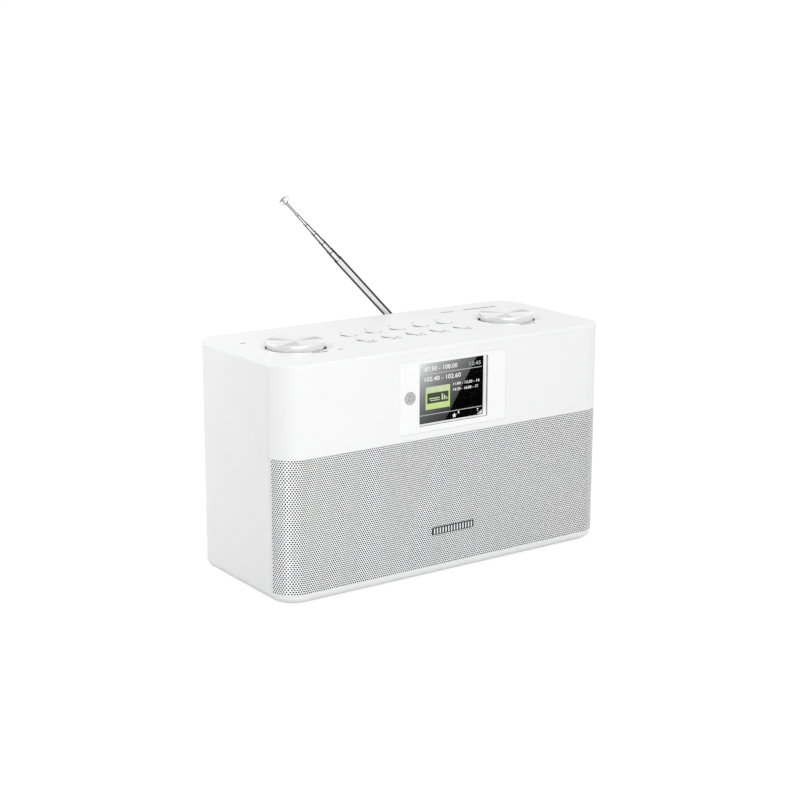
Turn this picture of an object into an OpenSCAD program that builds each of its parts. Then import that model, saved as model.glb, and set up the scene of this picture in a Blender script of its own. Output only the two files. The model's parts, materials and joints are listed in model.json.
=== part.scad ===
// Tabletop radio: a wide plastic cabinet with a wrap-round perforated grille,
// a small colour display, two rotary knobs, ten keys and a telescopic antenna.
// Origin: under the middle of the cabinet, on the plane of the feet. X right, Y back, Z up.

/* [Cabinet] */
// width of the cabinet, side to side
body_w = 283; // [260:1:310]
// depth of the cabinet, front to back
body_d = 122; // [116:1:140]
// height of the cabinet without its feet
body_h = 167; // [165:1:190]
// radius of the four upright corners
corner_r = 19; // [17:0.5:22]
// radius of the rounded bottom edge
bottom_r = 6.5; // [4:0.5:6.5]
// radius of the top panel's edge
top_r = 1.2; // [0.6:0.1:1.6]
// wall of the moulded shells
wall = 2.6; // [2.2:0.1:3]
// thickness of the top panel
lid_t = 2.4; // [2:0.1:3]
// depth of the front shell, from the front to the side seam
front_depth = 18; // [16:0.5:22]
// height of the rubber feet
foot_h = 1.5; // [1:0.1:2]

/* [Grille] */
// height of the bottom strip below the grille
grille_low = 7; // [6.6:0.1:10]
// height of the grille's top edge above the cabinet bottom
grille_high = 102.3; // [98:0.1:104]
// depth of the step that takes the grille and its cloth
grille_step = 1.6; // [1.4:0.1:2]
// sheet thickness of the grille
grille_t = 0.8; // [0.6:0.1:1]

/* [Display] */
// width of the display window panel
lens_w = 93; // [86:0.5:100]
// height of the display window panel
lens_h = 51.6; // [46:0.2:52]
// height of the panel's middle above the cabinet bottom
lens_mid = 132.9; // [130:0.1:134]
// width of the opening in front of the display
view_w = 60; // [54:0.5:64]
// height of the opening in front of the display
view_h = 45.4; // [40:0.2:46]
// depth from the front to the display glass
view_depth = 5.4; // [4.6:0.1:7]
// diameter of the remote sensor window
ir_d = 9.5; // [8:0.1:11]

/* [Controls] */
// distance of each knob from the middle
knob_x = 93.5; // [90:0.5:100]
// diameter of the knobs
knob_d = 41.5; // [38:0.5:44]
// how far the knobs stand above the top
knob_up = 3.3; // [2.5:0.1:6]
// outside diameter of the shallow dish round each knob
dish_d = 52; // [50:0.5:56]
// depth of the dish
dish_t = 1.6; // [1.2:0.1:1.8]
// diameter of the ten keys
key_d = 11.6; // [10:0.1:13]
// how far the keys stand above the top
key_up = 0.75; // [0.6:0.05:1.5]
// distance between keys in a row
key_pitch_x = 21.2; // [19:0.1:22]
// distance between the two rows of keys
key_pitch_y = 21; // [18:0.5:23]
// how far the controls' centre line sits behind the middle
controls_y = -1; // [-3:0.5:3]

/* [Antenna] */
// lean of the antenna from upright
antenna_lean = 44.5; // [0:0.5:60]
// length from the elbow to the end of the widest tube
antenna_first = 111.6; // [100:0.1:125]
// how far each further section is pulled out
antenna_step = 10.2; // [2:0.1:40]
// distance of the elbow to the right of the middle
antenna_x = 64.6; // [40:0.1:90]
// height of the elbow above the cabinet bottom
antenna_z = 132.3; // [120:0.1:150]
// distance of the antenna's axis behind the back
antenna_off = 7.3; // [7:0.1:9]

/* [Hidden] */
$fn = 72;
e = 0.01;
zb = foot_h;                 // underside of the cabinet
zt = zb + body_h;            // top surface
foot_r = 8;
seam_y = -body_d/2 + front_depth;
yf = -body_d/2;              // front plane
yb = body_d/2;               // back plane
gz0 = zb + grille_low;
gz1 = zb + grille_high;
spk_x = 80;
spk_z = zb + 56.4;
spk_c = 38.4;                // radius of the loudspeaker's screw circle
spk_y = yf + grille_step + wall;   // mounting face of the loudspeakers
lens_z = zb + lens_mid;
view_z = lens_z + 0.9;
post_x = body_w/2 - 17.5;
post_z = [zb + 12.5, zb + 148];
post_end = yb - 11;
pcb_z = zb + wall + 6;       // underside of the main board
jack_z = pcb_z + 1.6 + 5.4;
dc_x = -32;
aux_x = 0;
hp_x = 32;
port_x = -82;
port_z = zb + 62;
key_pcb = zt - 12.1;         // underside of the key board
key_boss = [[-66, 13], [66, 13], [-66, -15], [66, -15]];
main_boss = [[-68, -3], [68, -3], [-68, 42], [68, 42]];
ant_y = yb + antenna_off;
ant_r = [3.1, 2.7, 2.3, 1.9, 1.5, 1.15, 0.85];
ant_bore = [2.75, 2.35, 1.95, 1.55, 1.2, 0.9, 0];
ant_len = [0, 100, 97, 94, 91, 88, 85];
ant_top = [for (k = [0:6]) antenna_first + k*antenna_step + (k == 6 ? 1.2 : 0)]; // the thin rod stands out a little further, for its cap

shell_c = [0.93, 0.93, 0.94];
gloss_c = [0.97, 0.97, 0.97];
black_c = [0.06, 0.06, 0.07];
metal_c = [0.8, 0.8, 0.82];
chrome_c = [0.85, 0.86, 0.88];
pcb_c = [0.05, 0.32, 0.16];

// ---- helpers ----

// flat rounded rectangle
module rr(w, d, r) {
  square([w - 2*r, d], center = true);
  square([w, d - 2*r], center = true);
  for (sx = [-1, 1]) for (sy = [-1, 1]) translate([sx*(w/2 - r), sy*(d/2 - r)]) circle(r = r);
}

// upright prism with rounded corners, standing on z = 0
module rprism(w, d, h, r) { linear_extrude(h) rr(w, d, r); }

// half profile with a rounded outer bottom corner
module edge_profile(r, h, rb) {
  difference() { square([r, h]); translate([r - rb, 0]) square([rb, rb]); }
  translate([r - rb, rb]) circle(r = rb);
}

// upright prism with rounded corners and a rounded bottom edge
module rbox(w, d, h, r, rb) {
  for (sx = [0, 1]) for (sy = [0, 1]) mirror([sx, 0, 0]) mirror([0, sy, 0])
    translate([w/2 - r, d/2 - r, 0]) rotate_extrude(angle = 90) edge_profile(r, h, rb);
  for (sy = [0, 1]) mirror([0, sy, 0]) translate([-(w/2 - r), d/2 - r, 0])
    rotate([90, 0, 90]) linear_extrude(w - 2*r) edge_profile(r, h, rb);
  for (sx = [0, 1]) mirror([sx, 0, 0]) translate([w/2 - r, d/2 - r, 0])
    rotate([90, 0, 0]) linear_extrude(d - 2*r) edge_profile(r, h, rb);
  translate([-(w/2 - r), -(d/2 - r), 0]) cube([w - 2*r, d - 2*r, h]);
}

// cylinder along +Y from y0 to y1
module ycyl(x, z, y0, y1, r) { translate([x, y0, z]) rotate([-90, 0, 0]) cylinder(r = r, h = y1 - y0); }

// box from low corner to high corner
module bx(a, b) { translate(a) cube(b - a); }

// everything in the antenna's own frame: z along the tube, y away from the back
module on_antenna() { translate([antenna_x, ant_y, zb + antenna_z]) rotate([0, -antenna_lean, 0]) children(); }

// ---- cabinet ----

module rear_cabinet() color(shell_c) difference() {
  union() {
    difference() {
      intersection() {
        translate([0, 0, zb]) rbox(body_w, body_d, body_h - lid_t, corner_r, bottom_r);
        bx([-body_w, seam_y, -1], [body_w, body_d, 400]);
      }
      translate([0, 0, zb + wall + 0.9]) rprism(body_w - 2*wall, body_d - 2*wall, body_h, corner_r - wall);
    }
    // bosses for the case screws, on the inside of the back
    for (sx = [-1, 1]) for (z = post_z) ycyl(sx*post_x, z, post_end, yb - wall + 0.5, 5);
    // bosses for the main board
    for (p = main_boss) translate([p[0], p[1], zb + wall - 0.5]) cylinder(r = 3.2, h = 6.5);
  }
  // screw wells
  for (sx = [-1, 1]) for (z = post_z) {
    ycyl(sx*post_x, z, yb - 7, yb + 1, 3.3);
    ycyl(sx*post_x, z, post_end - 1, yb, 1.7);
  }
  for (p = main_boss) translate([p[0], p[1], zb + wall + 0.6]) cylinder(r = 1.2, h = 8);
  // recess and holes for the sockets
  bx([-46, yb - 1, jack_z - 9], [46, yb + 1, jack_z + 9]);
  for (x = [dc_x, aux_x, hp_x]) ycyl(x, jack_z, yb - wall - 1, yb, 4.5);
  // hole for the air port
  ycyl(port_x, port_z, yb - wall - 1, yb + 1, 17);
  // hole for the antenna stud
  ycyl(antenna_x, zb + antenna_z, yb - wall - 1, yb + 1, 5.4);
  // vent slots
  for (i = [-7:7]) bx([i*7 - 1, yb - wall - 1, zb + 40], [i*7 + 1, yb + 1, zb + 58]);
  // seats of the feet
  for (sx = [-1, 1]) for (y = [-33, 42]) translate([sx*115, y, zb - 1]) cylinder(r = foot_r + 0.15, h = 2);
}

// wrap-round wall of the front shell: from depth "off" inwards by t
module front_wall(z0, z1, off, t) {
  translate([0, 0, z0]) linear_extrude(z1 - z0) intersection() {
    difference() {
      rr(body_w - 2*off, body_d - 2*off, corner_r - off);
      rr(body_w - 2*off - 2*t, body_d - 2*off - 2*t, corner_r - off - t);
    }
    translate([-body_w, -body_d]) square([2*body_w, body_d + seam_y - 0.3]);
  }
}

module front_panel() color(gloss_c) difference() {
  union() {
    // bottom strip with its rounded edge
    difference() {
      intersection() {
        translate([0, 0, zb]) rbox(body_w, body_d, 20, corner_r, bottom_r);
        bx([-body_w, -body_d, -1], [body_w, seam_y - 0.3, gz0]);
      }
      translate([0, 0, zb + wall + 0.9]) rprism(body_w - 2*wall, body_d - 2*wall, 40, corner_r - wall);
    }
    // recessed wall behind the grille
    front_wall(gz0 - 2, gz1 + 2, grille_step, wall);
    // upper fascia
    front_wall(gz1, zt - lid_t, 0, wall);
    // frame behind the display window
    bx([-lens_w/2 - 3, yf + wall - 0.5, lens_z - lens_h/2 - 1.8], [lens_w/2 + 3, yf + view_depth, lens_z + lens_h/2 + 1.6]);
    // long posts for the case screws
    for (sx = [-1, 1]) for (z = post_z) ycyl(sx*post_x, z, yf + wall - 0.6, post_end, 4);
  }
  // seat and opening of the display window
  bx([-lens_w/2, yf - 1, lens_z - lens_h/2], [lens_w/2, yf + 2, lens_z + lens_h/2]);
  bx([-view_w/2, yf, view_z - view_h/2], [view_w/2, yf + view_depth + 1, view_z + view_h/2]);
  // openings in front of the loudspeakers
  for (sx = [-1, 1]) ycyl(sx*spk_x, spk_z, yf, spk_y + 1, 33);
  for (sx = [-1, 1]) for (a = [45:90:315]) ycyl(sx*spk_x + spk_c*cos(a), spk_z + spk_c*sin(a), spk_y - 2, spk_y + 1, 1.2);
  for (sx = [-1, 1]) for (z = post_z) ycyl(sx*post_x, z, post_end - 14, post_end + 1, 1.4);
}

module top_panel() color(shell_c) difference() {
  union() {
    translate([0, 0, zt]) mirror([0, 0, 1]) rbox(body_w, body_d, lid_t, corner_r, top_r);
    // rim that drops inside the shells
    translate([0, 0, zt - lid_t - 3]) linear_extrude(3.2) difference() {
      rr(body_w - 2*wall - 0.4, body_d - 2*wall - 0.4, corner_r - wall - 0.2);
      rr(body_w - 2*wall - 4.4, body_d - 2*wall - 4.4, corner_r - wall - 2.2);
    }
    for (sx = [-1, 1]) translate([sx*knob_x, controls_y, zt - 3.4]) cylinder(r = dish_d/2 + 2, h = 2);
    for (p = key_boss) translate([p[0], p[1], key_pcb + 1.6]) cylinder(r = 3, h = 9);
  }
  // dishes round the knobs
  for (sx = [-1, 1]) translate([sx*knob_x, controls_y, 0]) {
    translate([0, 0, zt - dish_t]) cylinder(r1 = knob_d/2 + 1.2, r2 = dish_d/2, h = dish_t);
    translate([0, 0, zt - e]) cylinder(r = dish_d/2, h = 1);
    translate([0, 0, zt - 5]) cylinder(r = 3.8, h = 6);
  }
  // holes for the keys
  for (i = [-2:2]) for (s = [-1, 1]) translate([i*key_pitch_x, controls_y + s*key_pitch_y/2, zt - 5]) cylinder(r = key_d/2 + 0.3, h = 7);
  for (p = key_boss) translate([p[0], p[1], key_pcb]) cylinder(r = 1.2, h = 8);
}

module speaker_grille() color(metal_c) front_wall(gz0 + 0.2, gz1 - 0.2, 0, grille_t);
module acoustic_cloth() color(black_c) front_wall(gz0 + 0.2, gz1 - 0.2, grille_t, 0.5);

module display_lens() color([0.9, 0.92, 0.95, 0.6]) difference() {
  bx([-lens_w/2 + 0.1, yf, lens_z - lens_h/2 + 0.1], [lens_w/2 - 0.1, yf + 2, lens_z + lens_h/2 - 0.1]);
  ycyl(-38, lens_z + 0.2, yf - 1, yf + 3, ir_d/2);
}

module ir_window() color([0.35, 0.35, 0.37]) ycyl(-38, lens_z + 0.2, yf + 0.1, yf + 1.9, ir_d/2);

module name_badge() color(metal_c) bx([-18.5, yf - 0.5, zb + 29.6], [18.5, yf, zb + 36]);

module rubber_feet() color(black_c) for (sx = [-1, 1]) for (y = [-33, 42]) translate([sx*115, y, 0]) {
  cylinder(r1 = foot_r - 0.5, r2 = foot_r, h = 0.5);
  translate([0, 0, 0.5 - e]) cylinder(r = foot_r, h = foot_h + 0.4 + e);
}

module jack_plate() color(black_c) difference() {
  bx([-45.8, yb - 1, jack_z - 8.8], [45.8, yb, jack_z + 8.8]);
  for (x = [dc_x, aux_x, hp_x]) ycyl(x, jack_z, yb - 2, yb + 1, 4.2);
}

module reflex_port() color(black_c) difference() {
  union() { ycyl(port_x, port_z, yb - 58, yb + 0.5, 16.8); ycyl(port_x, port_z, yb, yb + 1, 18.5); }
  ycyl(port_x, port_z, yb - 60, yb - 3, 14.6);
  translate([port_x, yb - 3 - e, port_z]) rotate([-90, 0, 0]) cylinder(r1 = 14.6, r2 = 17.1, h = 4.1);
}

// ---- display and boards ----

module lcd_module() color(black_c) {
  difference() {
    bx([-33, yf + view_depth, view_z - 25.2], [33, yf + view_depth + 4, view_z + 25.2]);
    bx([-29.2, yf + view_depth - 1, view_z - 21.8], [29.2, yf + view_depth + 0.3, view_z + 21.8]);
  }
  bx([-38, yf + view_depth + 4, view_z - 26], [38, yf + view_depth + 5.6, view_z + 26]);
}

module main_board() color(pcb_c) difference() {
  bx([-76, -11, pcb_z], [76, yb - wall - 0.4, pcb_z + 1.6]);
  for (p = main_boss) translate([p[0], p[1], pcb_z - 1]) cylinder(r = 1.6, h = 4);
}

module board_components() color([0.15, 0.15, 0.16]) {
  z = pcb_z + 1.6;
  bx([-14, 8, z], [6, 28, z + 2]);
  bx([20, 12, z], [36, 24, z + 1.6]);
  bx([-58, 0, z], [-38, 16, z + 12]);
  for (p = [[-24, 38], [-10, 38], [52, 20], [52, 4]]) translate([p[0], p[1], z]) cylinder(r = 4, h = 12);
  bx([14, -6, z], [40, 4, z + 5]);
  translate([-30, 22, z]) cylinder(r = 5.5, h = 6);
}

module key_board() color(pcb_c) difference() {
  bx([-108, -27, key_pcb], [108, 25, key_pcb + 1.6]);
  for (p = key_boss) translate([p[0], p[1], key_pcb - 1]) cylinder(r = 1.6, h = 4);
}

module key_switches() color([0.3, 0.3, 0.32]) for (i = [-2:2]) for (s = [-1, 1])
  translate([i*key_pitch_x, controls_y + s*key_pitch_y/2, key_pcb + 1.6]) difference() {
    translate([-3, -3, 0]) cube([6, 6, 3.5]);
    translate([0, 0, 2.1]) cylinder(r = 2, h = 3);
  }

module encoder_body(sx) color(metal_c) translate([sx*knob_x, controls_y, 0]) difference() {
  union() {
    bx([-6.2, -6.5, key_pcb + 1.6], [6.2, 6.5, zt - 4]);
    translate([0, 0, zt - 4.5]) cylinder(r = 3.5, h = 2.7);
  }
  translate([0, 0, zt - 9.9]) cylinder(r = 3.05, h = 10);
}
module press_slider(sx) color([0.9, 0.9, 0.86]) translate([sx*knob_x, controls_y, 0]) {
  translate([0, 0, zt - 9]) cylinder(r = 2.7, h = 0.8);
  translate([0, 0, zt - 8.5]) cylinder(r = 1.5, h = 3.3);
}
module encoder_shaft(sx) color(metal_c) translate([sx*knob_x, controls_y, 0]) difference() {
  translate([0, 0, zt - 7.9]) cylinder(r = 3, h = 9.3);
  translate([0, 0, zt - 8.9]) cylinder(r = 1.55, h = 4);
}
module knob(sx) color([0.25, 0.25, 0.26]) translate([sx*knob_x, controls_y, 0]) difference() {
  union() {
    translate([0, 0, zt - 0.5]) cylinder(r = 6, h = 3.1 - 0.5);
    translate([0, 0, zt + knob_up - 2.4]) cylinder(r = knob_d/2 - 1, h = 1.2);
    difference() {
      translate([0, 0, zt - 0.7]) cylinder(r = knob_d/2 - 1, h = knob_up - 1);
      translate([0, 0, zt - 1]) cylinder(r = knob_d/2 - 3, h = knob_up + 2);
    }
  }
  translate([0, 0, zt - 1]) cylinder(r = 3, h = 2.4);
}
module knob_cap(sx) color(metal_c) translate([sx*knob_x, controls_y, 0]) difference() {
  union() {
    translate([0, 0, zt - 0.7]) cylinder(r = knob_d/2, h = knob_up + 0.7 - 0.5);
    translate([0, 0, zt + knob_up - 0.5]) cylinder(r1 = knob_d/2, r2 = knob_d/2 - 0.5, h = 0.5);
  }
  translate([0, 0, zt - 1]) cylinder(r = knob_d/2 - 1, h = knob_up - 1.2 + 1);
}

module left_encoder_body() encoder_body(-1);
module right_encoder_body() encoder_body(1);
module left_press_slider() press_slider(-1);
module right_press_slider() press_slider(1);
module left_encoder_shaft() encoder_shaft(-1);
module right_encoder_shaft() encoder_shaft(1);
module left_knob() knob(-1);
module right_knob() knob(1);
module left_knob_cap() knob_cap(-1);
module right_knob_cap() knob_cap(1);

module key(n) color(shell_c) translate([((n - 1) % 5 - 2)*key_pitch_x, controls_y + (n <= 5 ? 1 : -1)*key_pitch_y/2, 0]) {
  translate([0, 0, zt + key_up - 0.4]) cylinder(r1 = key_d/2, r2 = key_d/2 - 0.4, h = 0.4);
  translate([0, 0, zt - lid_t - 0.3]) cylinder(r = key_d/2, h = lid_t + 0.3 + key_up - 0.4);
  translate([0, 0, zt - lid_t - 1.1]) cylinder(r = key_d/2 + 1.1, h = 0.8);
  translate([0, 0, zt - 7.3]) cylinder(r = 1.7, h = 7.3 - lid_t - 1);
}
module button_1() key(1);
module button_2() key(2);
module button_3() key(3);
module button_4() key(4);
module button_5() key(5);
module button_6() key(6);
module button_7() key(7);
module button_8() key(8);
module button_9() key(9);
module button_10() key(10);

// ---- loudspeakers, axis along +Y ----

module spk(sx) { translate([sx*spk_x, spk_y, spk_z]) rotate([-90, 0, 0]) children(); }

module speaker_frame(sx) color([0.2, 0.2, 0.21]) spk(sx) difference() {
  union() {
    difference() { cylinder(r = 41.5, h = 1.6); translate([0, 0, -1]) cylinder(r = 33.6, h = 4); }
    rotate_extrude() polygon([[33.6, 0], [35.6, 0], [35.6, 3], [22, 20], [22, 21.4], [10.4, 21.4], [10.4, 20], [20.4, 20], [33.6, 2.9]]);
  }
  for (a = [45:90:315]) translate([spk_c*cos(a), spk_c*sin(a), -1]) cylinder(r = 1.5, h = 4);
  for (a = [0:90:270]) rotate([0, 0, a]) translate([20, -8, 5]) cube([20, 16, 11]);
}
module speaker_cone(sx) color([0.1, 0.1, 0.11]) spk(sx) rotate_extrude()
  polygon([[0, 9.4], [5, 9.9], [9, 12], [12, 14], [29, 2.6], [30.2, 1.4], [31.8, 1.4], [33.6, 2.2], [33.6, 2.9], [31.6, 2.1], [30.4, 2.1], [29.4, 3.2], [12.6, 15], [10.1, 15.2], [10.1, 19.6], [9.7, 19.6], [9.7, 14.6], [8.6, 12.8], [4.8, 10.7], [0, 10.2]]);
module speaker_magnet(sx) color([0.35, 0.35, 0.37]) spk(sx) difference() {
  union() { translate([0, 0, 21.4]) cylinder(r = 24, h = 9); translate([0, 0, 30.4 - e]) cylinder(r = 21, h = 2.6); }
  translate([0, 0, 21]) cylinder(r = 10.4, h = 5);
}
module left_speaker_frame() speaker_frame(-1);
module right_speaker_frame() speaker_frame(1);
module left_speaker_cone() speaker_cone(-1);
module right_speaker_cone() speaker_cone(1);
module left_speaker_magnet() speaker_magnet(-1);
module right_speaker_magnet() speaker_magnet(1);

// ---- screws ----

module speaker_screws() color(metal_c) for (sx = [-1, 1]) for (a = [45:90:315]) {
  ycyl(sx*spk_x + spk_c*cos(a), spk_z + spk_c*sin(a), spk_y - 1.9, spk_y + 1.7, 1.2);
  ycyl(sx*spk_x + spk_c*cos(a), spk_z + spk_c*sin(a), spk_y + 1.6, spk_y + 2.8, 2.3);
}
module case_screws() color(metal_c) for (sx = [-1, 1]) for (z = post_z) difference() {
  union() { ycyl(sx*post_x, z, post_end - 12, yb - 6.9, 1.4); ycyl(sx*post_x, z, yb - 7, yb - 5, 2.8); }
  bx([sx*post_x - 2, yb - 5.8, z - 0.4], [sx*post_x + 2, yb - 4, z + 0.4]);
  bx([sx*post_x - 0.4, yb - 5.8, z - 2], [sx*post_x + 0.4, yb - 4, z + 2]);
}
module board_screws() color(metal_c) {
  for (p = main_boss) translate([p[0], p[1], 0]) {
    translate([0, 0, pcb_z - 4]) cylinder(r = 1.2, h = 5.7);
    translate([0, 0, pcb_z + 1.6]) cylinder(r = 2.6, h = 1.5);
  }
  for (p = key_boss) translate([p[0], p[1], 0]) {
    translate([0, 0, key_pcb - 0.1]) cylinder(r = 1.2, h = 5.7);
    translate([0, 0, key_pcb - 1.5]) cylinder(r = 2.6, h = 1.5);
  }
}

// ---- sockets ----

module jack(x) difference() {
  union() {
    bx([x - 6, yb - wall - 13, pcb_z + 1.6], [x + 6, yb - wall, jack_z + 5]);
    ycyl(x, jack_z, yb - wall - 1, yb - 0.2, 3.9);
  }
  ycyl(x, jack_z, yb - 14.2, yb + 1, 1.8);
}
module aux_jack() color([0.2, 0.2, 0.22]) jack(aux_x);
module headphone_jack() color([0.2, 0.2, 0.22]) jack(hp_x);
module dc_jack() color([0.12, 0.12, 0.13]) {
  difference() {
    union() {
      bx([dc_x - 6, yb - wall - 13, pcb_z + 1.6], [dc_x + 6, yb - wall, jack_z + 5]);
      ycyl(dc_x, jack_z, yb - wall - 1, yb - 0.2, 3.9);
    }
    ycyl(dc_x, jack_z, yb - 10, yb + 1, 2.9);
  }
  ycyl(dc_x, jack_z, yb - 11, yb - 1.5, 1);
}

// ---- antenna ----

module antenna_base() color(black_c) difference() {
  union() {
    ycyl(antenna_x, zb + antenna_z, yb, yb + 1.8, 9);
    ycyl(antenna_x, zb + antenna_z, yb - wall - 2, yb + 1, 5.4);
  }
  ycyl(antenna_x, zb + antenna_z, yb - wall - 4, yb + 3, 3.05);
}
module antenna_swivel() color(chrome_c) on_antenna() difference() {
  union() {
    // stud through the back, with its retaining head inside
    translate([0, -antenna_off - wall - 3.4, 0]) rotate([-90, 0, 0]) cylinder(r = 3, h = wall + antenna_off - 1.2);
    translate([0, -antenna_off - wall - 3.4, 0]) rotate([-90, 0, 0]) cylinder(r = 4.6, h = 1.1);
    // turning disc and the two ears
    translate([0, -5.2, 0]) rotate([-90, 0, 0]) cylinder(r = 7, h = 1.4);
    for (s = [-1, 1]) translate([s*4.2 - 0.9, 0, 0]) {
      rotate([0, 90, 0]) cylinder(r = 4, h = 1.8);
      translate([0, -4.4, -4]) cube([1.8, 4.4, 8]);
    }
  }
  rotate([0, 90, 0]) translate([0, 0, -8]) cylinder(r = 1.2, h = 16);
}
module antenna_hinge_pin() color(chrome_c) on_antenna() rotate([0, 90, 0]) translate([0, 0, -5.4]) cylinder(r = 1.2, h = 10.8);
module antenna_section_1() color(chrome_c) on_antenna() difference() {
  union() {
    rotate([0, 90, 0]) translate([0, 0, -2.9]) cylinder(r = 3.1, h = 5.8);
    cylinder(r = 2.5, h = 8);
    translate([0, 0, 6]) cylinder(r = ant_r[0], h = antenna_first - 6);
  }
  translate([0, 0, 8]) cylinder(r = ant_bore[0], h = antenna_first);
  rotate([0, 90, 0]) translate([0, 0, -8]) cylinder(r = 1.25, h = 16);
}
module tube(k) color(chrome_c) on_antenna() translate([0, 0, ant_top[k] - ant_len[k]]) difference() {
  cylinder(r = ant_r[k], h = ant_len[k]);
  translate([0, 0, -1]) cylinder(r = ant_bore[k], h = ant_len[k] + 2);
}
module antenna_section_2() tube(1);
module antenna_section_3() tube(2);
module antenna_section_4() tube(3);
module antenna_section_5() tube(4);
module antenna_section_6() tube(5);
module antenna_section_7() color(chrome_c) on_antenna() translate([0, 0, ant_top[6] - ant_len[6]]) cylinder(r = ant_r[6], h = ant_len[6] + 1.5);
module antenna_tip() color(chrome_c) on_antenna() translate([0, 0, ant_top[6]]) rotate_extrude()
  polygon([[0.85, 0], [1.7, 0], [1.9, 0.8], [3.9, 2.9], [3.9, 3.7], [2.9, 4.5], [1.2, 4.9], [0, 5], [0, 1.5], [0.85, 1.5]]);

rear_cabinet();
front_panel();
top_panel();
speaker_grille();
acoustic_cloth();
display_lens();
ir_window();
name_badge();
rubber_feet();
jack_plate();
reflex_port();
lcd_module();
main_board();
board_components();
key_board();
key_switches();
left_encoder_body();
right_encoder_body();
left_speaker_frame();
left_speaker_cone();
left_speaker_magnet();
right_speaker_frame();
right_speaker_cone();
right_speaker_magnet();
speaker_screws();
case_screws();
board_screws();
dc_jack();
aux_jack();
headphone_jack();
left_press_slider();
left_encoder_shaft();
left_knob();
left_knob_cap();
right_press_slider();
right_encoder_shaft();
right_knob();
right_knob_cap();
button_1();
button_2();
button_3();
button_4();
button_5();
button_6();
button_7();
button_8();
button_9();
button_10();
antenna_base();
antenna_swivel();
antenna_hinge_pin();
antenna_section_1();
antenna_section_2();
antenna_section_3();
antenna_section_4();
antenna_section_5();
antenna_section_6();
antenna_section_7();
antenna_tip();
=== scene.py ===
import bpy, bmesh, json, math
from mathutils import Vector, Matrix

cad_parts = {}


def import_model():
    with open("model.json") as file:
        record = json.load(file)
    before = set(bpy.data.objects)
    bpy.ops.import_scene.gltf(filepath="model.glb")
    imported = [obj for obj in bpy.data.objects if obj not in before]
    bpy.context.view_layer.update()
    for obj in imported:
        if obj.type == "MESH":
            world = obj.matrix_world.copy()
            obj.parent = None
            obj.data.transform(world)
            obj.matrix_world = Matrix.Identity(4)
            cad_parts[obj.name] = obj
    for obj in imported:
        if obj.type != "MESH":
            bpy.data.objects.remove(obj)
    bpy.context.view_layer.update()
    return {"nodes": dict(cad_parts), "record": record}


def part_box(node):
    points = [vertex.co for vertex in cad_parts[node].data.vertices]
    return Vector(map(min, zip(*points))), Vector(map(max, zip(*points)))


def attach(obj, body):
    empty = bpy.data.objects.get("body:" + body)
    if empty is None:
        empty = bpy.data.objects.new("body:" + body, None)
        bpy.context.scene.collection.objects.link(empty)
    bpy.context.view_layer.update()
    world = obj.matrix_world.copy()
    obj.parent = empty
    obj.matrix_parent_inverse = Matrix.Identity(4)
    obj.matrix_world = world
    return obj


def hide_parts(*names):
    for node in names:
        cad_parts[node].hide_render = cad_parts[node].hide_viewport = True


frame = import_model()
REC = frame["record"]
NODES = frame["nodes"]
MM = 0.001


def span(node):
    lo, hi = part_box(node)
    return Vector(lo), Vector(hi)


# ---------------------------------------------------------------- key dimensions, read from the CAD nodes
CAB_LO, CAB_HI = span("rear_cabinet")
TOP_LO, TOP_HI = span("top_panel")
FRONT_LO, FRONT_HI = span("front_panel")
GR_LO, GR_HI = span("speaker_grille")
LENS_LO, LENS_HI = span("display_lens")
LCD_LO, LCD_HI = span("lcd_module")
IR_LO, IR_HI = span("ir_window")
BADGE_LO, BADGE_HI = span("name_badge")
W = CAB_HI.x - CAB_LO.x
YF = TOP_LO.y
YB = TOP_HI.y
ZT = TOP_HI.z
R = 19 * MM

# light levels of the studio
WORLD, WORLD_TOP, WORLD_LEFT, WORLD_FRONT, FLAG_LEFT, FLAG_RIGHT = 0.90, 1.15, 0.38, 0.78, 0.55, 0.15
FLOOR_GLOW = 0.95
SOFT_TOP, SOFT_FRONT, SOFT_SIDE = 4.8, 7.3, 0.85

# ---------------------------------------------------------------- materials


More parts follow.
